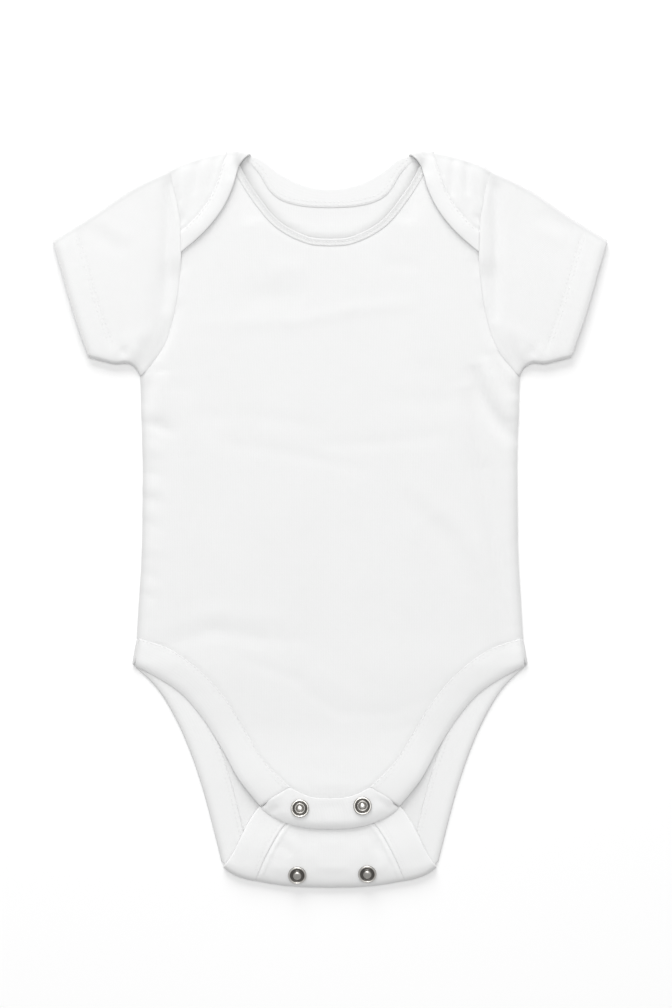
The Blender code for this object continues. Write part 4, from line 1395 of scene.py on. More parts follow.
@dataclass(frozen=True)
class Shears:
    """Border lines that neighbouring pieces share, with the laps of the sewing."""

    lap: float = 0.55
    shoulder_bend: float = 1.4
    side_bend: float = 0.85
    side_end_trim: float = 0.9
    front_rise: float = 0.3
    neck_low: float = 185.1
    neck_curve: float = 0.0112
    neck_half: float = 38.0
    neck_front_binding: float = 4.2
    apex_slant: float = 1.4

    def armhole(self) -> Array:
        """Armhole seam from the underarm up."""
        return smooth_line(ARMHOLE[::-1], CURVE_SAMPLES)

    def body_side(self, leg: Sequence[Band], armhole: Array, leg_gap: float, rows: tuple[int, int]) -> Array:
        """Right-hand border of a body panel: leg binding, side seam, armhole.

        Args:
            leg: Places along the leg binding, upwards.
            armhole: Plan points of the armhole, upwards.
            leg_gap: How far the panel's edge lies from the binding's seam.
            rows: Numbers of points beside the leg and at the side.

        Returns:
            Plan points, upwards.
        """
        leg_line = inset(inner_line(leg, rows[0]), leg_gap)
        side_line = smooth_line(SIDE_SEAM[::-1], rows[1])
        leg_line[-1, 0] = side_line[0, 0]
        return np.concatenate([leg_line, side_line[1:], armhole[1:]])

    def trimmed_top(self, line: Array, trim: float) -> Array:
        """The armhole border, stopped below the shoulder fold.

        Args:
            line: Plan points of the armhole, upwards.
            trim: How far below the fold it stops.

        Returns:
            The points up to the stop.
        """
        room = LIE.shoulder_height(line[:, 0]) - trim - line[:, 1]
        half = np.interp(0.0, room[::-1], line[::-1, 0])
        return np.concatenate([line[room > 0], [(half, LIE.shoulder_height(half) - trim)]])

    def shoulder(self, start_half: float, trim: float, end_half: float, columns: int) -> Array:
        """Row under the shoulder fold, from the neck side to the armhole."""
        halves = np.linspace(start_half, end_half, columns + 1)
        return np.stack([halves, LIE.shoulder_height(halves) - trim], axis=1)

    def back_neck_edge(self, columns: int) -> Array:
        """Half of the back neck's free edge, a parabola up to the shoulder fold.

        Args:
            columns: How many points.

        Returns:
            Plan points from the centre line.
        """
        half = np.linspace(0.0, self.neck_half, 7)
        edge = np.stack([half, self.neck_low + self.neck_curve * half**2], axis=1)
        apex = SHOULDER_FOLD[-1]
        tip = (apex.half_width - self.apex_slant, apex.height - LIE.fold_inside - self.shoulder_bend)
        return smooth_line([*edge, tip], columns)

    def back_neck_seam(self, columns: int) -> Array:
        """Half of the seam under the back neck binding, up to the shoulder fold."""
        tip = (FLAP[0].inner_half, FLAP[0].inner_height - LIE.fold_inside - self.shoulder_bend)
        return smooth_line([*BACK_NECK_SEAM[:-1], tip], columns)


SHEARS = Shears()


def strip(edge: Array, seam: Array, shares: Array) -> Array:
    """Plan grid across a binding: a row for each point of its edge and seam."""
    share = shares[None, :, None]
    return edge[:, None] * (1 - share) + seam[:, None] * share


# Front


@dataclass
class FrontPanel:
    """Front of the body, from the crotch band to its shoulders under the flaps."""

    finishes: Finishes
    rows: tuple[int, int] = (66, 84)
    armhole_rows: int = 50
    neck_columns: int = 32
    yoke_columns: int = 18
    puckers: list[Pucker] = field(init=False)

    def __post_init__(self) -> None:
        """Set out the gathers along the seams."""
        neck = smooth_line(FRONT_NECK_SEAM, 80)
        self.puckers = [
            Pucker(SHEARS.armhole(), reach=3.2, wave=6.5, depth=0.035, dip=0.3, dip_width=1.1),
            Pucker(inner_line(LEG_FRONT, 80), reach=3.0, wave=7.5, depth=0.035, dip=0.22, dip_width=1.1),
            Pucker(smooth_line(SIDE_SEAM, 80), reach=4.5, wave=11.0, depth=0.07, dip=1.0, dip_width=2.6),
            Pucker(neck, reach=2.4, wave=6.0, depth=0.035, dip=0.12, dip_width=0.9),
            Pucker(smooth_line(CROTCH_SEAM[:4], 40), reach=2.4, wave=5.5, depth=0.05, dip=0.2, dip_width=1.3),
        ]

    def level(self, x: Array, y: Array) -> Array:
        """Front with its creases and the gathers of the sewing."""
        return LIE.front(x, y) + sum(pucker.height(x, y) for pucker in self.puckers)

    def grids(self) -> list[Array]:
        """Plan grids of the panel.

        Returns:
            The body's grid and those of the two straps beside the neck.
        """
        trim = LIE.fold_inside + SHEARS.shoulder_bend - SHEARS.front_rise
        neck = inset(smooth_line(FRONT_NECK_SEAM, 2 * self.neck_columns + 1), SHEARS.lap)
        armhole = SHEARS.trimmed_top(SHEARS.armhole(), trim)
        yoke = neck[self.neck_columns, 1]
        below = spaced(armhole[armhole[:, 1] < yoke], np.linspace(0.0, 1.0, self.armhole_rows))
        right = SHEARS.body_side(LEG_FRONT, below, -SHEARS.lap, self.rows)
        yoke_line = np.linspace(neck[self.neck_columns], right[-1], self.yoke_columns + 1)
        half_top = np.concatenate([neck[: self.neck_columns], yoke_line])
        crotch = smooth_line(CROTCH_SEAM[:4], len(half_top)) - np.array([0.0, SHEARS.lap])
        crotch[-1] = right[0]
        body = coons(across(crotch), across(half_top), mirrored(right), right)
        above = np.concatenate([[right[-1]], armhole[armhole[:, 1] > yoke]])
        above = spaced(above, np.linspace(0.0, 1.0, self.neck_columns + 1))
        shoulder = SHEARS.shoulder(neck[-1, 0], trim, above[-1, 0], self.yoke_columns)
        neck_side = neck[self.neck_columns :]
        neck_side[-1] = shoulder[0]
        strap = coons(yoke_line, shoulder, neck_side, above)
        return [body, strap, mirrored(strap)]

    def dress(self) -> Object:
        """Make the panel in place of its solid.

        Returns:
            The panel.
        """
        surface = joined([sheet_surface(raised(plan, self.level)) for plan in self.grids()])
        panel = new_piece("front_cloth", surface, self.finishes.jersey, LIE.panel_wall)
        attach(panel, "root")
        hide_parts("front_panel")
        return panel


@dataclass
class CrotchBand:
    """Doubled band on the front's end, which carries the upper snaps.

    Its wall thins towards the corners, where the leg bindings run in and its
    hem slopes down to the tongue.
    """

    finishes: Finishes
    columns: int = 34
    corner_columns: int = 16
    rows: int = 30
    corner_lap: float = 1.0
    corner_dip: float = 0.1
    corner_reach: float = 5.0
    corner_taper: float = 0.45
    side_taper: float = 0.25
    crowding: float = 0.8
    swell: float = 0.12
    swell_reach: float = 3.0
    roll: Pair = (1.9, 1.8)
    roll_reach: Pair = (5.4, 9.5)
    side_blend: Pair = (16.0, 32.0)

    def level(self, x: Array, y: Array) -> Array:
        """The band, flush with the leg bindings at its corners and rolled down to its hem.

        Args:
            x: Places across.
            y: Places along.

        Returns:
            The heights.
        """
        end = CROTCH_SEAM[-1]
        free = np.concatenate([smooth_line(CROTCH_HEM, 40), [(end.half_width, end.height)]])
        gap = nearest(free, np.abs(x), y)[0]
        from_corner = nearest(smooth_line(CROTCH_SEAM[3:], 20), np.abs(x), y)[0]
        side = smoothstep(np.abs(x), *self.side_blend)
        drop = self.roll[0] + (self.roll[1] - self.roll[0]) * side
        reach = self.roll_reach[0] + (self.roll_reach[1] - self.roll_reach[0]) * side
        dip = self.corner_dip * (1.0 - smoothstep(from_corner, 0.0, self.corner_reach))
        return LIE.band(x, y) - dip - rolled(gap, drop, reach)

    def dress(self) -> Object:
        """Make the band, rounded at its hem, in place of its solid.

        Returns:
            The band.
        """
        seam = smooth_line(CROTCH_SEAM[:4], self.columns)
        corner = inset(smooth_line(CROTCH_SEAM[3:], self.corner_columns), self.corner_lap)
        corner[0] = seam[-1]
        top = np.concatenate([seam[:-1], corner])
        hem = smooth_line(CROTCH_HEM, len(top))
        right = np.linspace(hem[-1], top[-1], self.rows)
        plan = coons(across(hem), across(top), mirrored(right), right)
        plan = respaced(plan, edge_shares(self.rows, self.crowding))
        x, y = np.abs(plan[..., 0]), plan[..., 1]
        gap = nearest(np.concatenate([hem, right]), x, y)[0]
        gap = gap * (1.0 - (1.0 - self.side_taper) * smoothstep(x, *self.side_blend))
        gap = np.minimum(gap, nearest(seam, x, y)[0])
        gap = np.minimum(gap, self.corner_taper * nearest(corner, x, y)[0])
        wall = rounded_wall(gap, LIE.binding_wall)
        grid = raised(plan, self.level)
        swell = self.swell * smoothstep(gap, 0.0, self.swell_reach)
        band = new_piece("crotch_band_cloth", shell_surface(grid, wall, swell), self.finishes.rib)
        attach(band, "root")
        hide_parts("crotch_band")
        return band


@dataclass
class FrontNeckBinding:
    """Narrow rolled binding along the front neckline, with its twin stitching."""

    finishes: Finishes
    rows: int = 150
    columns: int = 15
    lift: float = 0.12
    wall: float = 1.35
    stitch_from_seam: float = 1.75
    gauge: float = 1.5

    def seam(self) -> Array:
        """Right half of the seam.

        Returns:
            Plan points from the middle up to the shoulder fold.
        """
        seam = smooth_line(FRONT_NECK_SEAM, self.rows)
        top = LIE.shoulder_height(seam[-1, 0]) - LIE.fold_inside - SHEARS.shoulder_bend
        seam[-1, 1] = top + SHEARS.front_rise
        return seam

    def level(self, x: Array, y: Array) -> Array:
        """The binding, lapped on the front."""
        return LIE.front(x, y) + self.lift

    def dress(self) -> tuple[Object, list[Surface]]:
        """Make the binding in place of its solid.

        Returns:
            The binding, and the rows of stitches on it.
        """
        seam = self.seam()
        whole = across(seam)
        edge = across(inset(seam, SHEARS.neck_front_binding))
        plan = strip(edge, whole, edge_shares(self.columns))
        grid = raised(plan, self.level)
        width = np.linalg.norm(edge - whole, axis=1)[:, None]
        share = edge_shares(self.columns)[None, :]
        from_seam = (1 - share) * width
        gap = np.minimum(share * width, from_seam)
        ends = arc_length(whole)[:, None]
        gap = np.minimum(gap, np.minimum(ends, ends[-1] - ends))
        rows = np.array([-0.5, 0.5]) * self.gauge + self.stitch_from_seam
        swell = stitch_grooves(from_seam, gap, rows, depth=0.05, width=0.4, clear=0.6)
        surface = shell_surface(grid, rounded_wall(gap, self.wall), swell)
        binding = new_piece("neck_binding_front_cloth", surface, self.finishes.rib)
        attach(binding, "root")
        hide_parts("neck_binding_front")
        line = across(inset(seam, self.stitch_from_seam))
        stitching = Stitching(pitch=2.1, length=1.5)
        return binding, stitching.twin(line[2:-2], self.gauge, self.level, self.wall)


# Back


@dataclass
class BackPanel:
    """Back of the body in one cut with its shoulder flaps and the crotch tongue."""

    finishes: Finishes
    rows: tuple[int, int] = (60, 34)
    armhole_rows: int = 34
    neck_columns: int = 18
    shoulder_columns: int = 30
    tongue_rows: int = 46
    flap_rows: int = 40
    sewing_start: Pair = (0.5, 5.0)
    flap_puckers: list[Pucker] = field(init=False)
    tongue_puckers: list[Pucker] = field(init=False)

    def __post_init__(self) -> None:
        """Set out the gathers along the flap's and the tongue's seams."""
        self.flap_puckers = [
            Pucker(inner_line(FLAP[1:], 60), reach=4.0, wave=5.6, depth=0.03, dip=0.3, dip_width=1.0),
            Pucker(SHEARS.armhole(), reach=3.6, wave=6.0, depth=0.05, dip=0.3, dip_width=1.1),
        ]
        seam = inner_line(TONGUE, 60)
        self.tongue_puckers = [
            Pucker(seam, reach=3.4, wave=6.4, depth=0.07, dip=0.35, dip_width=0.9, ridge=0.35)
        ]

    def flap_level(self, x: Array, y: Array) -> Array:
        """Flap with its creases and gathers."""
        sewing = sum(pucker.height(x, y) for pucker in self.flap_puckers)
        return LIE.flap(x, y) + sewing * smoothstep(LIE.shoulder_height(x) - y, *self.sewing_start)

    def tongue_level(self, x: Array, y: Array) -> Array:
        """Tongue with its creases and gathers."""
        sewing = sum(pucker.height(x, y) for pucker in self.tongue_puckers)
        return LIE.tongue(x, y) + sewing * smoothstep(y - LIE.crotch_height(x), *LIE.tongue_crease_start)

    def back_level(self, x: Array, y: Array) -> Array:
        """Back on the floor, with a few low swells where it shows."""
        return LIE.panel_wall / 2 + relief(BACK_CREASES, x, y)

    def body(self) -> tuple[Array, Array, Array]:
        """The back itself.

        Returns:
            Its plan grid, its bend at the crotch and its shoulder row.
        """
        trim = LIE.fold_inside + SHEARS.shoulder_bend
        armhole = SHEARS.trimmed_top(SHEARS.armhole(), trim)
        rows = spaced(armhole, np.linspace(0.0, 1.0, self.armhole_rows))
        right = SHEARS.body_side(LEG_BACK[::-1], rows, -SHEARS.lap, self.rows)
        neck = inset(SHEARS.back_neck_seam(self.neck_columns), SHEARS.lap)
        shoulder = SHEARS.shoulder(neck[-1, 0], trim, right[-1, 0], self.shoulder_columns)
        half_top = np.concatenate([neck[:-1], shoulder])
        halves = np.linspace(0.0, TONGUE[0].inner_half + SHEARS.lap, len(half_top))
        whole = across(np.stack([halves, halves], axis=1))[:, 0]
        bend = LIE.crotch_bend(whole, LIE.panel_wall / 2, self.tongue_level)
        right[0] = bend[0, -1, :2]
        return coons(bend[0, :, :2], across(half_top), mirrored(right), right), bend, shoulder

    def tongue(self, start: Array) -> Array:
        """The tongue above its fold, up to the end hidden under the crotch band.

        Args:
            start: Plan points of the last row of the fold.

        Returns:
            A grid of points.
        """
        seam = carried_on(start[-1], inset(inner_line(TONGUE, 4 * self.tongue_rows), -SHEARS.lap))
        right = spaced(seam, np.linspace(0.0, 1.0, self.tongue_rows))
        end = np.linspace(mirrored(right[-1]), right[-1], len(start))
        return raised(coons(start, end, mirrored(right), right), self.tongue_level)

    def flaps(self, shoulder: Array) -> list[Array]:
        """The bends at the shoulder folds and the flaps lying on the front.

        Args:
            shoulder: Plan points of the back's last row, from the neck.

        Returns:
            A bend and a flap for each side.
        """
        fold = np.stack([shoulder[:, 0], LIE.shoulder_height(shoulder[:, 0])], axis=1)
        seam = inset(inner_line(FLAP[1:], len(shoulder)), -SHEARS.lap)
        armhole = SHEARS.armhole()
        grids = []
        for side in Side:
            level = side.under(self.flap_level)
            inward = np.array([0.0, -1.0])
            low = LIE.panel_wall / 2
            bend = LIE.half_bend(fold, inward, SHEARS.shoulder_bend, low, level)
            start = bend[-1, :, :2]
            heights = np.linspace(start[-1, 1], seam[-1, 1], self.flap_rows)
            border = np.stack([np.interp(heights, armhole[:, 1], armhole[:, 0]), heights], axis=1)
            border[0] = start[-1]
            foot = seam.copy()
            foot[-1] = border[-1]
            apex = np.linspace(start[0], foot[0], self.flap_rows)
            flap = raised(coons(start, foot, apex, border), level)
            grids.extend([side.turn(bend), side.turn(flap)])
        return grids

    def dress(self) -> Object:
        """Make the back in place of its solid.

        Returns:
            The back with its flaps and tongue.
        """
        body, bend, shoulder = self.body()
        grids = [raised(body, self.back_level), bend, self.tongue(bend[-1, :, :2])]
        grids.extend(self.flaps(shoulder))
        surface = joined([sheet_surface(grid) for grid in grids])
        panel = new_piece("back_cloth", surface, self.finishes.jersey, LIE.panel_wall)
        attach(panel, "root")
        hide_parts("back_panel")
        return panel


# Long bindings


@dataclass
class BackNeckBinding:
    """Binding from one flap's foot, over the shoulder, round the back neck and down."""

    finishes: Finishes
    flap_rows: int = 70
    neck_rows: int = 44
    columns: int = 17
    lift: float = -0.05
    wall: float = 1.3
    rest: float = 0.77
    tip_round: float = 1.1
    seam_taper: float = 0.4
    neck_blend: float = 1.0
    swell: float = 0.1
    swell_start: Pair = (0.3, 2.5)
    seam_dip: float = 0.1
    seam_dip_width: float = 1.2
    stitch_from_seam: float = 1.9
    neck_stitch_shift: float = 0.6
    gauge: float = 1.9

    def level(self, x: Array, y: Array) -> Array:
        """The binding, lapped on the flap."""
        return LIE.flap(x, y) + self.lift

    def neck_level(self, x: Array, y: Array) -> Array:
        """The binding behind the neck, flat on the floor."""
        return np.full_like(x, self.rest)

    def dress(self) -> tuple[Object, list[Surface]]:
        """Make the binding in place of its solid.

        Returns:
            The binding, and the rows of stitches on its flaps and its neck.
        """
        shares = edge_shares(self.columns)
        seam = inner_line(FLAP[1:], self.flap_rows)
        edge = outer_line(FLAP[1:], self.flap_rows)
        halves = FLAP[0].outer_half + (FLAP[0].inner_half - FLAP[0].outer_half) * shares
        fold = np.stack([halves, LIE.shoulder_height(halves)], axis=1)
        low = self.rest
        neck_edge = SHEARS.back_neck_edge(self.neck_rows)
        neck_seam = SHEARS.back_neck_seam(self.neck_rows)
        neck = at_height(strip(neck_edge, neck_seam, shares)[::-1], low)
        sides = []
        for side in Side:
            level = side.under(self.level)
            flap = raised(strip(edge, seam, shares)[::-1], level)
            inward = np.array([0.0, -1.0])
            bend = LIE.half_bend(fold, inward, SHEARS.shoulder_bend, low, level)[::-1]
            under = (1 - np.cos(np.linspace(0.0, math.pi, BEND_ROWS)))[:, None] / 2
            bend[..., 0] -= SHEARS.apex_slant * under * (1 - shares)
            bend[..., 1] -= self.tip_round * 2 * np.sqrt(under * (1 - under)) * (1 - shares) ** 2
            sides.append(side.turn(np.concatenate([flap, bend, neck[1:]])))
        grid = np.concatenate([sides[0], sides[1][-2::-1]])
        width = np.linalg.norm(grid[:, -1] - grid[:, 0], axis=1)[:, None]
        from_seam = (1 - shares[None, :]) * width
        behind_neck = 1.0 - smoothstep(grid[..., 2], low, low + self.neck_blend)
        taper = 1 - (1 - self.seam_taper) * behind_neck
        gap = np.minimum(shares[None, :] * width, taper * from_seam)
        along = arc_length(grid[:, self.columns // 2])[:, None]
        gap = np.minimum(gap, np.minimum(along, along[-1] - along))
        swell = self.swell * smoothstep(gap, *self.swell_start)
        swell = swell - self.seam_dip * np.exp(-((from_seam / self.seam_dip_width) ** 2))
        rows = np.array([-0.5, 0.5]) * self.gauge + self.stitch_from_seam
        swell = swell + stitch_grooves(from_seam, gap, rows, depth=0.06, width=0.4, clear=0.8)
        surface = shell_surface(grid, rounded_wall(gap, self.wall), swell)
        binding = new_piece("neck_binding_back_cloth", surface, self.finishes.rib)
        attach(binding, "root")
        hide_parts("neck_binding_back")
        stitching = Stitching()
        stitches: list[Surface] = []
        flap_line = inset(seam, -self.stitch_from_seam)[3:-5]
        for line in (flap_line, mirrored(flap_line)):
            stitches.extend(stitching.twin(line, self.gauge, self.level, self.wall))
        neck_line = across(inset(neck_seam, self.stitch_from_seam + self.neck_stitch_shift))[4:-4]
        stitches.extend(stitching.twin(neck_line, self.gauge, self.neck_level, self.wall))
        return binding, stitches


@dataclass
class LegBinding:
    """Leg binding: front edge, round the side, back edge, round the crotch fold."""

    finishes: Finishes
    side: Side
    rows: int = 96
    tongue_rows: int = 54
    columns: int = 19
    lift: float = -0.12
    wall: float = 1.3
    stitch_from_seam: float = 1.7
    gauge: float = 2.0
    roll: float = 1.1
    roll_reach: float = 4.6
    start_row: float = 0.45
    start_taper: float = 0.16
    back_edge_taper: float = 0.5
    back_blend: float = 0.6
    lap_start: Pair = (1.0, 5.0)
    swell: float = 0.12
    swell_start: Pair = (0.3, 4.0)
    ridge: float = 0.3
    ridge_from_seam: float = 1.0
    ridge_width: float = 0.7
    ridge_rows: int = 36

    def front_level(self, x: Array, y: Array) -> Array:
        """The binding on the front, whose free edge rolls down to the back.

        Args:
            x: Places across.
            y: Places along.

        Returns:
            The heights.
        """
        gap = nearest(outer_line(LEG_FRONT, 60), x, y)[0]
        roll = rolled(gap, np.full_like(x, self.roll), self.roll_reach)
        return LIE.front(x * self.side.value, y) + self.lift - roll

    def tongue_level(self, x: Array, y: Array) -> Array:
        """The binding on the tongue."""
        lap = self.lift * smoothstep(y - LIE.crotch_height(x), *self.lap_start)
        return LIE.tongue(x * self.side.value, y) + lap

    def back_level(self, x: Array, y: Array) -> Array:
        """The binding on the back, flat on the floor."""
        return np.full_like(x, LIE.binding_wall / 2)

    def grid(self, shares: Array) -> Array:
        """Middle points of the right-hand binding along its whole length.

        Its first row lies a little under the crotch band.

        Args:
            shares: Shares of the width, from the free edge to the seam.

        Returns:
            A grid of points with a row for each place along the binding.
        """
        front = strip(outer_line(LEG_FRONT, self.rows), inner_line(LEG_FRONT, self.rows), shares)
        front[0] += (front[0] - front[1]) * self.start_row
        low = LIE.binding_wall / 2
        end = LEG_FRONT[-1]
        outer = np.array([end.outer_half, end.outer_height])
        inner = np.array([end.inner_half, end.inner_height - SHEARS.side_end_trim])
        side_line = outer + (inner - outer) * shares[:, None]
        inward = np.array([-1.0, 0.0])
        side_bend = LIE.half_bend(side_line, inward, SHEARS.side_bend, low, self.front_level)[::-1]
        back = strip(outer_line(LEG_BACK, self.rows), inner_line(LEG_BACK, self.rows), shares)
        fold_halves = TONGUE[0].outer_half + (TONGUE[0].inner_half - TONGUE[0].outer_half) * shares
        fold_bend = LIE.crotch_bend(fold_halves, low, self.tongue_level)
        rows = np.linspace(0.0, 1.0, self.tongue_rows)
        edge = carried_on(fold_bend[-1, 0, :2], outer_line(TONGUE, 4 * self.tongue_rows))
        seam = carried_on(fold_bend[-1, -1, :2], inner_line(TONGUE, 4 * self.tongue_rows))
        tongue = strip(spaced(edge, rows), spaced(seam, rows), shares)
        return np.concatenate(
            [
                raised(front[:-1], self.front_level),
                side_bend,
                at_height(back[2:-2], low),
                fold_bend,
                raised(tongue[1:], self.tongue_level),
            ]
        )

    def dress(self) -> tuple[Object, list[Surface]]:
        """Make the binding in place of its solid.

        Returns:
            The binding, and the rows of stitches on its front, back and tongue.
        """
        shares = edge_shares(self.columns)
        grid = self.grid(shares)
        width = np.linalg.norm(grid[:, -1] - grid[:, 0], axis=1)[:, None]
        from_seam = (1 - shares[None, :]) * width
        low = LIE.binding_wall / 2
        on_back = 1.0 - smoothstep(grid[..., 2], low, low + self.back_blend)
        taper = 1 - (1 - self.back_edge_taper) * on_back
        gap = np.minimum(taper * shares[None, :] * width, from_seam)
        along = arc_length(grid[:, self.columns // 2])[:, None]
        gap = np.minimum(gap, np.minimum(self.start_taper * along, along[-1] - along))
        swell = self.swell * smoothstep(gap, *self.swell_start)
        fold_row, whole_row = len(grid) - self.tongue_rows, len(grid) - self.ridge_rows
        on_tongue = smoothstep(np.arange(len(grid)), fold_row, whole_row)[:, None]
        from_ridge = (from_seam - self.ridge_from_seam) / self.ridge_width
        swell = swell + self.ridge * on_tongue * np.exp(-(from_ridge**2))
        rows = np.array([-0.5, 0.5]) * self.gauge + self.stitch_from_seam
        swell = swell + stitch_grooves(from_seam, gap, rows, depth=0.06, width=0.45, clear=0.8)
        surface = shell_surface(grid, rounded_wall(gap, self.wall), swell)
        name = "leg_binding_" + self.side.label
        binding = new_piece(name + "_cloth", surface.turned(self.side), self.finishes.rib)
        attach(binding, "root")
        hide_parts(name)
        return binding, self.stitches()

    def stitches(self) -> list[Surface]:
        """Twin rows along the seam, where the binding lies flat.

        Returns:
            The rows on the front, the back and the tongue.
        """
        stitching = Stitching()
        places = [
            (inset(inner_line(LEG_FRONT, 90), -self.stitch_from_seam)[2:-2], self.front_level),
            (inset(inner_line(LEG_BACK, 90), self.stitch_from_seam)[4:-6], self.back_level),
            (inset(inner_line(TONGUE, 60), -self.stitch_from_seam)[5:-2], self.tongue_level),
        ]
        rows: list[Surface] = []
        for line, level in places:
            rows.extend(stitching.twin(line, self.gauge, level, self.wall))
        return [row.turned(self.side) for row in rows]


# Sleeves


@dataclass
class Sleeve:
    """Short sleeve: a flattened tube sewn into the armhole, with a turned hem."""

    finishes: Finishes
    side: Side
    rings: int = 46
    spans: int = 50
    bend_spans: int = 8
    top_bend: float = 1.4
    low_bend: float = 1.85
    underarm_bend: float = 0.9
    low_bend_full: float = 0.4
    crown: float = 0.4
    head_blend: float = 0.3
    foot_blend: Pair = (1.0, 15.0)
    top_fade: float = 0.05
    underarm_fade: float = 0.06
    underarm_share: float = 0.35
    hem_depth: float = 14.0
    hem_swell: float = 0.22
    hem_step: float = 0.6
    gauge: float = 2.2
    head: Array = field(init=False)
    hem: Array = field(init=False)
    armhole_pucker: Pucker = field(init=False)
    hem_pucker: Pucker = field(init=False)

    def __post_init__(self) -> None:
        """Set out the armhole and the hem, from the top, and the gathers of their sewing."""
        self.head = SHEARS.armhole()[::-1]
        self.hem = smooth_line(SLEEVE_HEM, 60)
        self.armhole_pucker = Pucker(
            SHEARS.armhole(), reach=3.4, wave=6.2, depth=0.06, dip=0.3, dip_width=0.8, ridge=0.12
        )
        self.hem_pucker = Pucker(self.hem_line(), reach=3.4, wave=6.4, depth=0.05, dip=0.2, dip_width=1.6)

    def hem_line(self) -> Array:
        """Plan line of the hem's stitching, a hem's depth inside the hem edge."""
        return inset(self.hem, -self.hem_depth)

    def head_level(self, x: Array, y: Array) -> Array:
        """Level of the body at the armhole: the flap where it covers the front."""
        bare = smoothstep(FLAP[-1].outer_height - y, *self.foot_blend)
        return LIE.plain_front(x, y) + LIE.flap_over_front * (1.0 - bare)

    def relief(self, x: Array, y: Array) -> Array:
        """Creases, the gathers of the sewing and the doubled hem.

        Args:
            x: Places across.
            y: Places along.

        Returns:
            What they add to the height.
        """
        from_hem = nearest(self.hem, x, y)[0]
        hem = self.hem_swell * smoothstep(self.hem_depth - from_hem, -self.hem_step, self.hem_step)
        place = x * self.side.value
        sewing = self.armhole_pucker.height(place, y) + self.hem_pucker.height(place, y)
        return relief(SLEEVE_CREASES + UNDERARM_CREASES, place, y) + sewing + hem

    def plan(self, shares: Array, along: float, top: Array, low: Array) -> Array:
        """Plan of one section.

        The straight line between the folds, plus the bows of the armhole and
        of the hem, weighted by the distance along the sleeve.

        Args:
            shares: Shares of the width, from the top fold.
            along: Share of the sleeve's length, from the armhole.
            top: The section's place on the top fold.
            low: Its place on the fold under the arm.

        Returns:
            Plan points of the section.
        """
        share = shares[:, None]
        bows = [
            spaced(line, shares) - line[0] - (line[-1] - line[0]) * share for line in (self.head, self.hem)
        ]
        return top * (1 - share) + low * share + (1 - along) * bows[0] + along * bows[1]

    def section(self, along: float, top: Array, low: Array) -> Array:
        """One closed ring of middle points.

        Half a circle at each fold joins the upper layer, which runs from the
        top fold to the underarm with a low crown, to the flat lower one.

        Args:
            along: Share of the sleeve's length, from the armhole.
            top: The section's place on the top fold.
            low: Its place on the fold under the arm.

        Returns:
            The ring's points, starting on the upper layer.
        """
        wall = LIE.panel_wall / 2
        width = np.linalg.norm(low - top)
        full = smoothstep(np.float64(along), 0.0, self.low_bend_full)
        low_bend = self.underarm_bend + (self.low_bend - self.underarm_bend) * full
        start = (wall + self.top_bend) / width
        end = 1 - (wall + low_bend) / width
        level = np.linspace(0.0, 1.0, self.spans + 1)
        turn = np.linspace(0.0, math.pi, self.bend_spans + 1)[1:-1]
        shares = np.concatenate(
            [
                start + (end - start) * level,
                end + low_bend * np.sin(turn) / width,
                end - (end - start) * level,
                start - self.top_bend * np.sin(turn) / width,
            ]
        )
        plan = self.plan(shares, along, top, low)
        upper = plan[: self.spans + 1]
        ramp = wall + 2 * (self.top_bend + (low_bend - self.top_bend) * level)
        sleeve_top = ramp + self.crown * np.sin(math.pi * level)
        blend = smoothstep(np.float64(along), 0.0, self.head_blend)
        body_top = self.head_level(upper[:, 0], upper[:, 1])
        low_fade = smoothstep(1 - level, 0.0, self.underarm_fade)
        low_fade = self.underarm_share + (1 - self.underarm_share) * low_fade
        fade = smoothstep(level, 0.0, self.top_fade) * low_fade
        upper_height = body_top + (sleeve_top - body_top) * blend + self.relief(*upper.T) * fade
        first, last = upper_height[0] - wall, upper_height[-1] - wall
        height = np.concatenate(
            [
                upper_height,
                wall + last * (1 + np.cos(turn)) / 2,
                np.full(self.spans + 1, wall),
                wall + first * (1 - np.cos(turn)) / 2,
            ]
        )
        return np.concatenate([plan, height[:, None]], axis=1)

    def top_level(self, grid: Array) -> Level:
        """The upper layer's height as a function, read from the nearest of its points.

        Args:
            grid: The sleeve's middle points.

        Returns:
            The function.
        """
        upper = grid[:, : self.spans + 1].reshape(-1, 3)

        def level(x: Array, y: Array) -> Array:
            """Height of the four nearest points, weighted by one over the square of their distance.

            Args:
                x: Places across.
                y: Places along.

            Returns:
                The heights.
            """
            gap = np.hypot(x[:, None] - upper[None, :, 0], y[:, None] - upper[None, :, 1])
            close = np.argpartition(gap, 4, axis=1)[:, :4]
            weight = 1.0 / (np.take_along_axis(gap, close, axis=1) ** 2 + 0.01)
            return (upper[close, 2] * weight).sum(axis=1) / weight.sum(axis=1)

        return level

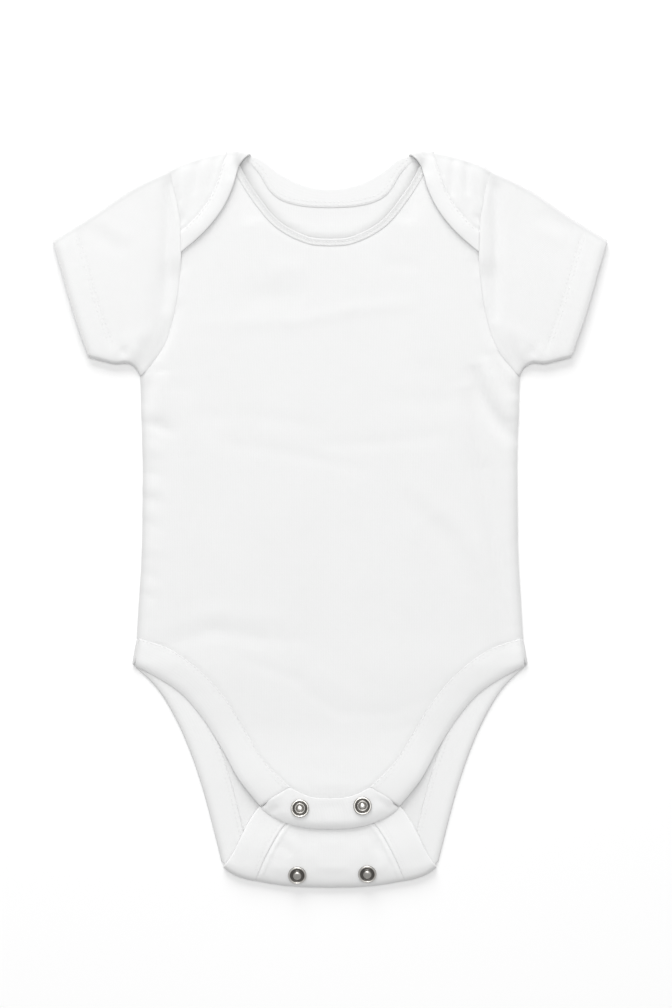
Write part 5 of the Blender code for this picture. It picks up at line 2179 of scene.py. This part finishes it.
    def dress(self) -> tuple[Object, list[Surface]]:
        """Make the sleeve in place of its solid.

        Returns:
            The sleeve, and the rows of stitches of its hem.
        """
        tops = smooth_line(SLEEVE_TOP_LINE, self.rings + 1)
        lows = smooth_line(SLEEVE_LOW_LINE, self.rings + 1)
        tops[0], lows[0] = self.head[0], self.head[-1]
        rings = [self.section(ring / self.rings, tops[ring], lows[ring]) for ring in range(len(tops))]
        grid = np.stack(rings)
        round_length = row_lengths(grid)
        folded = np.minimum(round_length, round_length[:, -1:] - round_length)
        along = np.broadcast_to(arc_length(grid[:, self.spans // 2])[:, None], folded.shape)
        cut = np.stack([folded, along], axis=-1)
        faces = grid_faces(grid.shape[0], grid.shape[1], True)
        surface = Surface(grid.reshape(-1, 3), cut.reshape(-1, 2), faces).turned(self.side)
        name = "sleeve_" + self.side.label
        sleeve = new_piece(name + "_cloth", surface, self.finishes.jersey, LIE.panel_wall)
        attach(sleeve, "root")
        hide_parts(name)
        rows = Stitching().twin(self.hem_line()[2:-3], self.gauge, self.top_level(grid), LIE.panel_wall)
        return sleeve, [row.turned(self.side) for row in rows]


# Snaps


@dataclass(frozen=True)
class SnapPart:
    """A turned snap part that shows, in place of its solid.

    Its profile is a row of radii and heights.
    """

    node: str
    x: float
    y: float
    tilt: float
    profile: tuple[Pair, ...]
    sides: int = 96
    steps: int = 70

    def dress(self, metal: Material) -> Object:
        """Turn the profile about its axis, lean it and set it at the solid's height.

        A point is the profile's radius times the cosine and sine of the turn,
        with the profile's height, leaned about X by the tilt.

        Args:
            metal: The part's finish.

        Returns:
            The part.
        """
        line = smooth_line(self.profile, self.steps)
        turn = np.linspace(0.0, 2 * math.pi, self.sides, endpoint=False)
        radius = line[:, :1]
        x = radius * np.cos(turn)
        y = radius * np.sin(turn)
        z = line[:, 1:] + 0.0 * x
        leaned = np.stack(
            [
                x,
                y * math.cos(self.tilt) - z * math.sin(self.tilt),
                y * math.sin(self.tilt) + z * math.cos(self.tilt),
            ],
            axis=-1,
        )
        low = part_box(self.node)[0][2] / MM
        place = np.array([self.x, self.y, low - leaned[..., 2].min()])
        points = (leaned + place).reshape(-1, 3)
        cut = np.stack([x, y], axis=-1).reshape(-1, 2)
        surface = Surface(points, cut, grid_faces(self.steps, self.sides, True))
        part = new_piece(self.node + "_turned", surface, metal)
        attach(part, "root")
        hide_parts(self.node)
        return part


CAP_PROFILE = (
    (0.0, 0.0), (4.6, 0.0), (5.0, 0.12), (5.12, 0.45), (4.98, 0.82), (4.6, 1.02),
    (4.25, 1.0), (4.0, 0.75), (3.85, 0.4), (3.65, 0.22), (3.4, 0.22),
    (3.2, 0.4), (2.95, 0.72), (2.6, 0.82), (2.25, 0.7), (2.0, 0.4),
    (1.8, 0.36), (1.6, 0.6), (1.2, 0.92), (0.6, 1.07), (0.0, 1.1),
)
STUD_PROFILE = (
    (0.0, 0.0), (4.6, 0.0), (5.0, 0.12), (5.12, 0.45), (4.98, 0.85), (4.6, 1.03),
    (4.2, 0.98), (3.95, 0.65), (3.7, 0.36), (3.3, 0.3), (2.7, 0.34),
    (2.4, 0.6), (2.35, 1.1), (2.15, 1.45), (1.6, 1.68), (0.8, 1.76), (0.0, 1.77),
)
LEAN = math.radians(13)


@dataclass
class Snaps:
    """Two closed snaps in the crotch band and two open studs near the crotch fold."""

    finishes: Finishes
    parts: tuple[SnapPart, ...] = (
        SnapPart("snap_cap_left", -16.8, -162.0, 0.0, CAP_PROFILE),
        SnapPart("snap_cap_right", 18.2, -160.6, 0.0, CAP_PROFILE),
        SnapPart("open_stud_left", -18.3, -199.6, LEAN, STUD_PROFILE),
        SnapPart("open_stud_right", 20.9, -198.9, LEAN, STUD_PROFILE),
    )
    hidden: tuple[str, ...] = ("snap_socket", "snap_stud", "snap_ring", "open_ring")

    def dress(self) -> None:
        """Make the parts that show, and plate the solids between the layers."""
        for part in self.parts:
            is_stud = part.profile is STUD_PROFILE
            part.dress(self.finishes.stud_nickel if is_stud else self.finishes.nickel)
        for kind in self.hidden:
            for side in Side:
                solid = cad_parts[f"{kind}_{side.label}"]
                solid.data.materials.clear()
                solid.data.materials.append(self.finishes.hidden_nickel)


# Stage


@dataclass(frozen=True)
class Lamp:
    """A round lamp that points at the garment."""

    name: str
    place: Triple
    width: float
    power: float

    def hang(self) -> None:
        """Add the lamp, turned to the origin."""
        data = bpy.data.lights.new(self.name, "AREA")
        data.shape = "DISK"
        data.size = self.width
        data.energy = self.power
        lamp = bpy.data.objects.new(self.name, data)
        lamp.location = self.place
        lamp.rotation_euler = (-Vector(self.place)).to_track_quat("-Z", "Y").to_euler()
        bpy.context.collection.objects.link(lamp)


@dataclass(frozen=True)
class Studio:
    """White floor, a lamp beyond the neck, one overhead and a camera straight above."""

    look_x: float = 3.4
    look_y: float = 8.1
    view_length: float = 564.5
    lens: float = 100.0
    sensor: float = 36.0
    sky: float = 0.452
    lamps: tuple[Lamp, ...] = (
        Lamp("window", (-0.35, 2.6, 1.35), 1.9, 61.2),
        Lamp("overhead", (0.0, 0.3, 2.5), 1.4, 26.0),
    )
    floor_half: float = 4.0
    floor_height: float = -0.02
    cloth_height: float = 4.0

    def floor(self) -> None:
        """A level square of white paper under the garment."""
        line = np.linspace(-self.floor_half, self.floor_half, 3) / MM
        x, y = np.meshgrid(line, line)
        grid = np.stack([x, y, np.full_like(x, self.floor_height)], axis=-1)
        paper = new_piece("floor", sheet_surface(grid), FloorFinish().material())

    def camera(self) -> None:
        """A long lens straight above the garment, framed on its height."""
        data = bpy.data.cameras.new("camera")
        data.lens = self.lens
        data.sensor_width = self.sensor
        data.clip_start = 0.01
        data.clip_end = 20.0
        camera = bpy.data.objects.new("camera", data)
        distance = self.view_length * self.lens / self.sensor + self.cloth_height
        camera.location = (self.look_x * MM, self.look_y * MM, distance * MM)
        bpy.context.collection.objects.link(camera)
        bpy.context.scene.camera = camera

    def lights(self) -> None:
        """An even sky, and the lamps, whose light falls off towards the crotch."""
        world = bpy.data.worlds.new("sky")
        world.use_nodes = True
        background = world.node_tree.nodes["Background"]
        background.inputs["Color"].default_value = (1.0, 1.0, 1.0, 1.0)
        background.inputs["Strength"].default_value = self.sky
        bpy.context.scene.world = world
        for lamp in self.lamps:
            lamp.hang()

    def set_up(self) -> None:
        """Place floor, camera and lights, with plain display colours."""
        self.floor()
        self.camera()
        self.lights()
        bpy.context.scene.view_settings.view_transform = "Standard"


# Garment


@dataclass
class Bodysuit:
    """The whole garment, piece by piece."""

    finishes: Finishes

    def sew(self, name: str, rows: list[Surface]) -> Object:
        """Make one object of the stitches of a group of seams.

        Args:
            name: The object's name.
            rows: Its rows of stitches.

        Returns:
            The stitches.
        """
        stitches = new_piece(name, joined(rows), self.finishes.thread)
        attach(stitches, "root")
        return stitches

    def dress(self) -> None:
        back = BackPanel(self.finishes).dress()
        front = FrontPanel(self.finishes).dress()
        CrotchBand(self.finishes).dress()
        front_neck, front_neck_rows = FrontNeckBinding(self.finishes).dress()
        _, back_neck_rows = BackNeckBinding(self.finishes).dress()
        front_stitches = self.sew("stitches_neck_front", front_neck_rows)
        self.sew("stitches_neck_back", back_neck_rows)
        for side in Side:
            _, leg_rows = LegBinding(self.finishes, side).dress()
            self.sew("stitches_leg_" + side.label, leg_rows)
            sleeve, hem_rows = Sleeve(self.finishes, side).dress()
            hem = self.sew("stitches_sleeve_" + side.label, hem_rows)
        Snaps(self.finishes).dress()


def main() -> None:
    """Build the scene."""
    logging.basicConfig(level=logging.INFO, format="%(name)s: %(message)s")
    Studio().set_up()
    Bodysuit(Finishes()).dress()


if __name__ == "__main__":
    main()
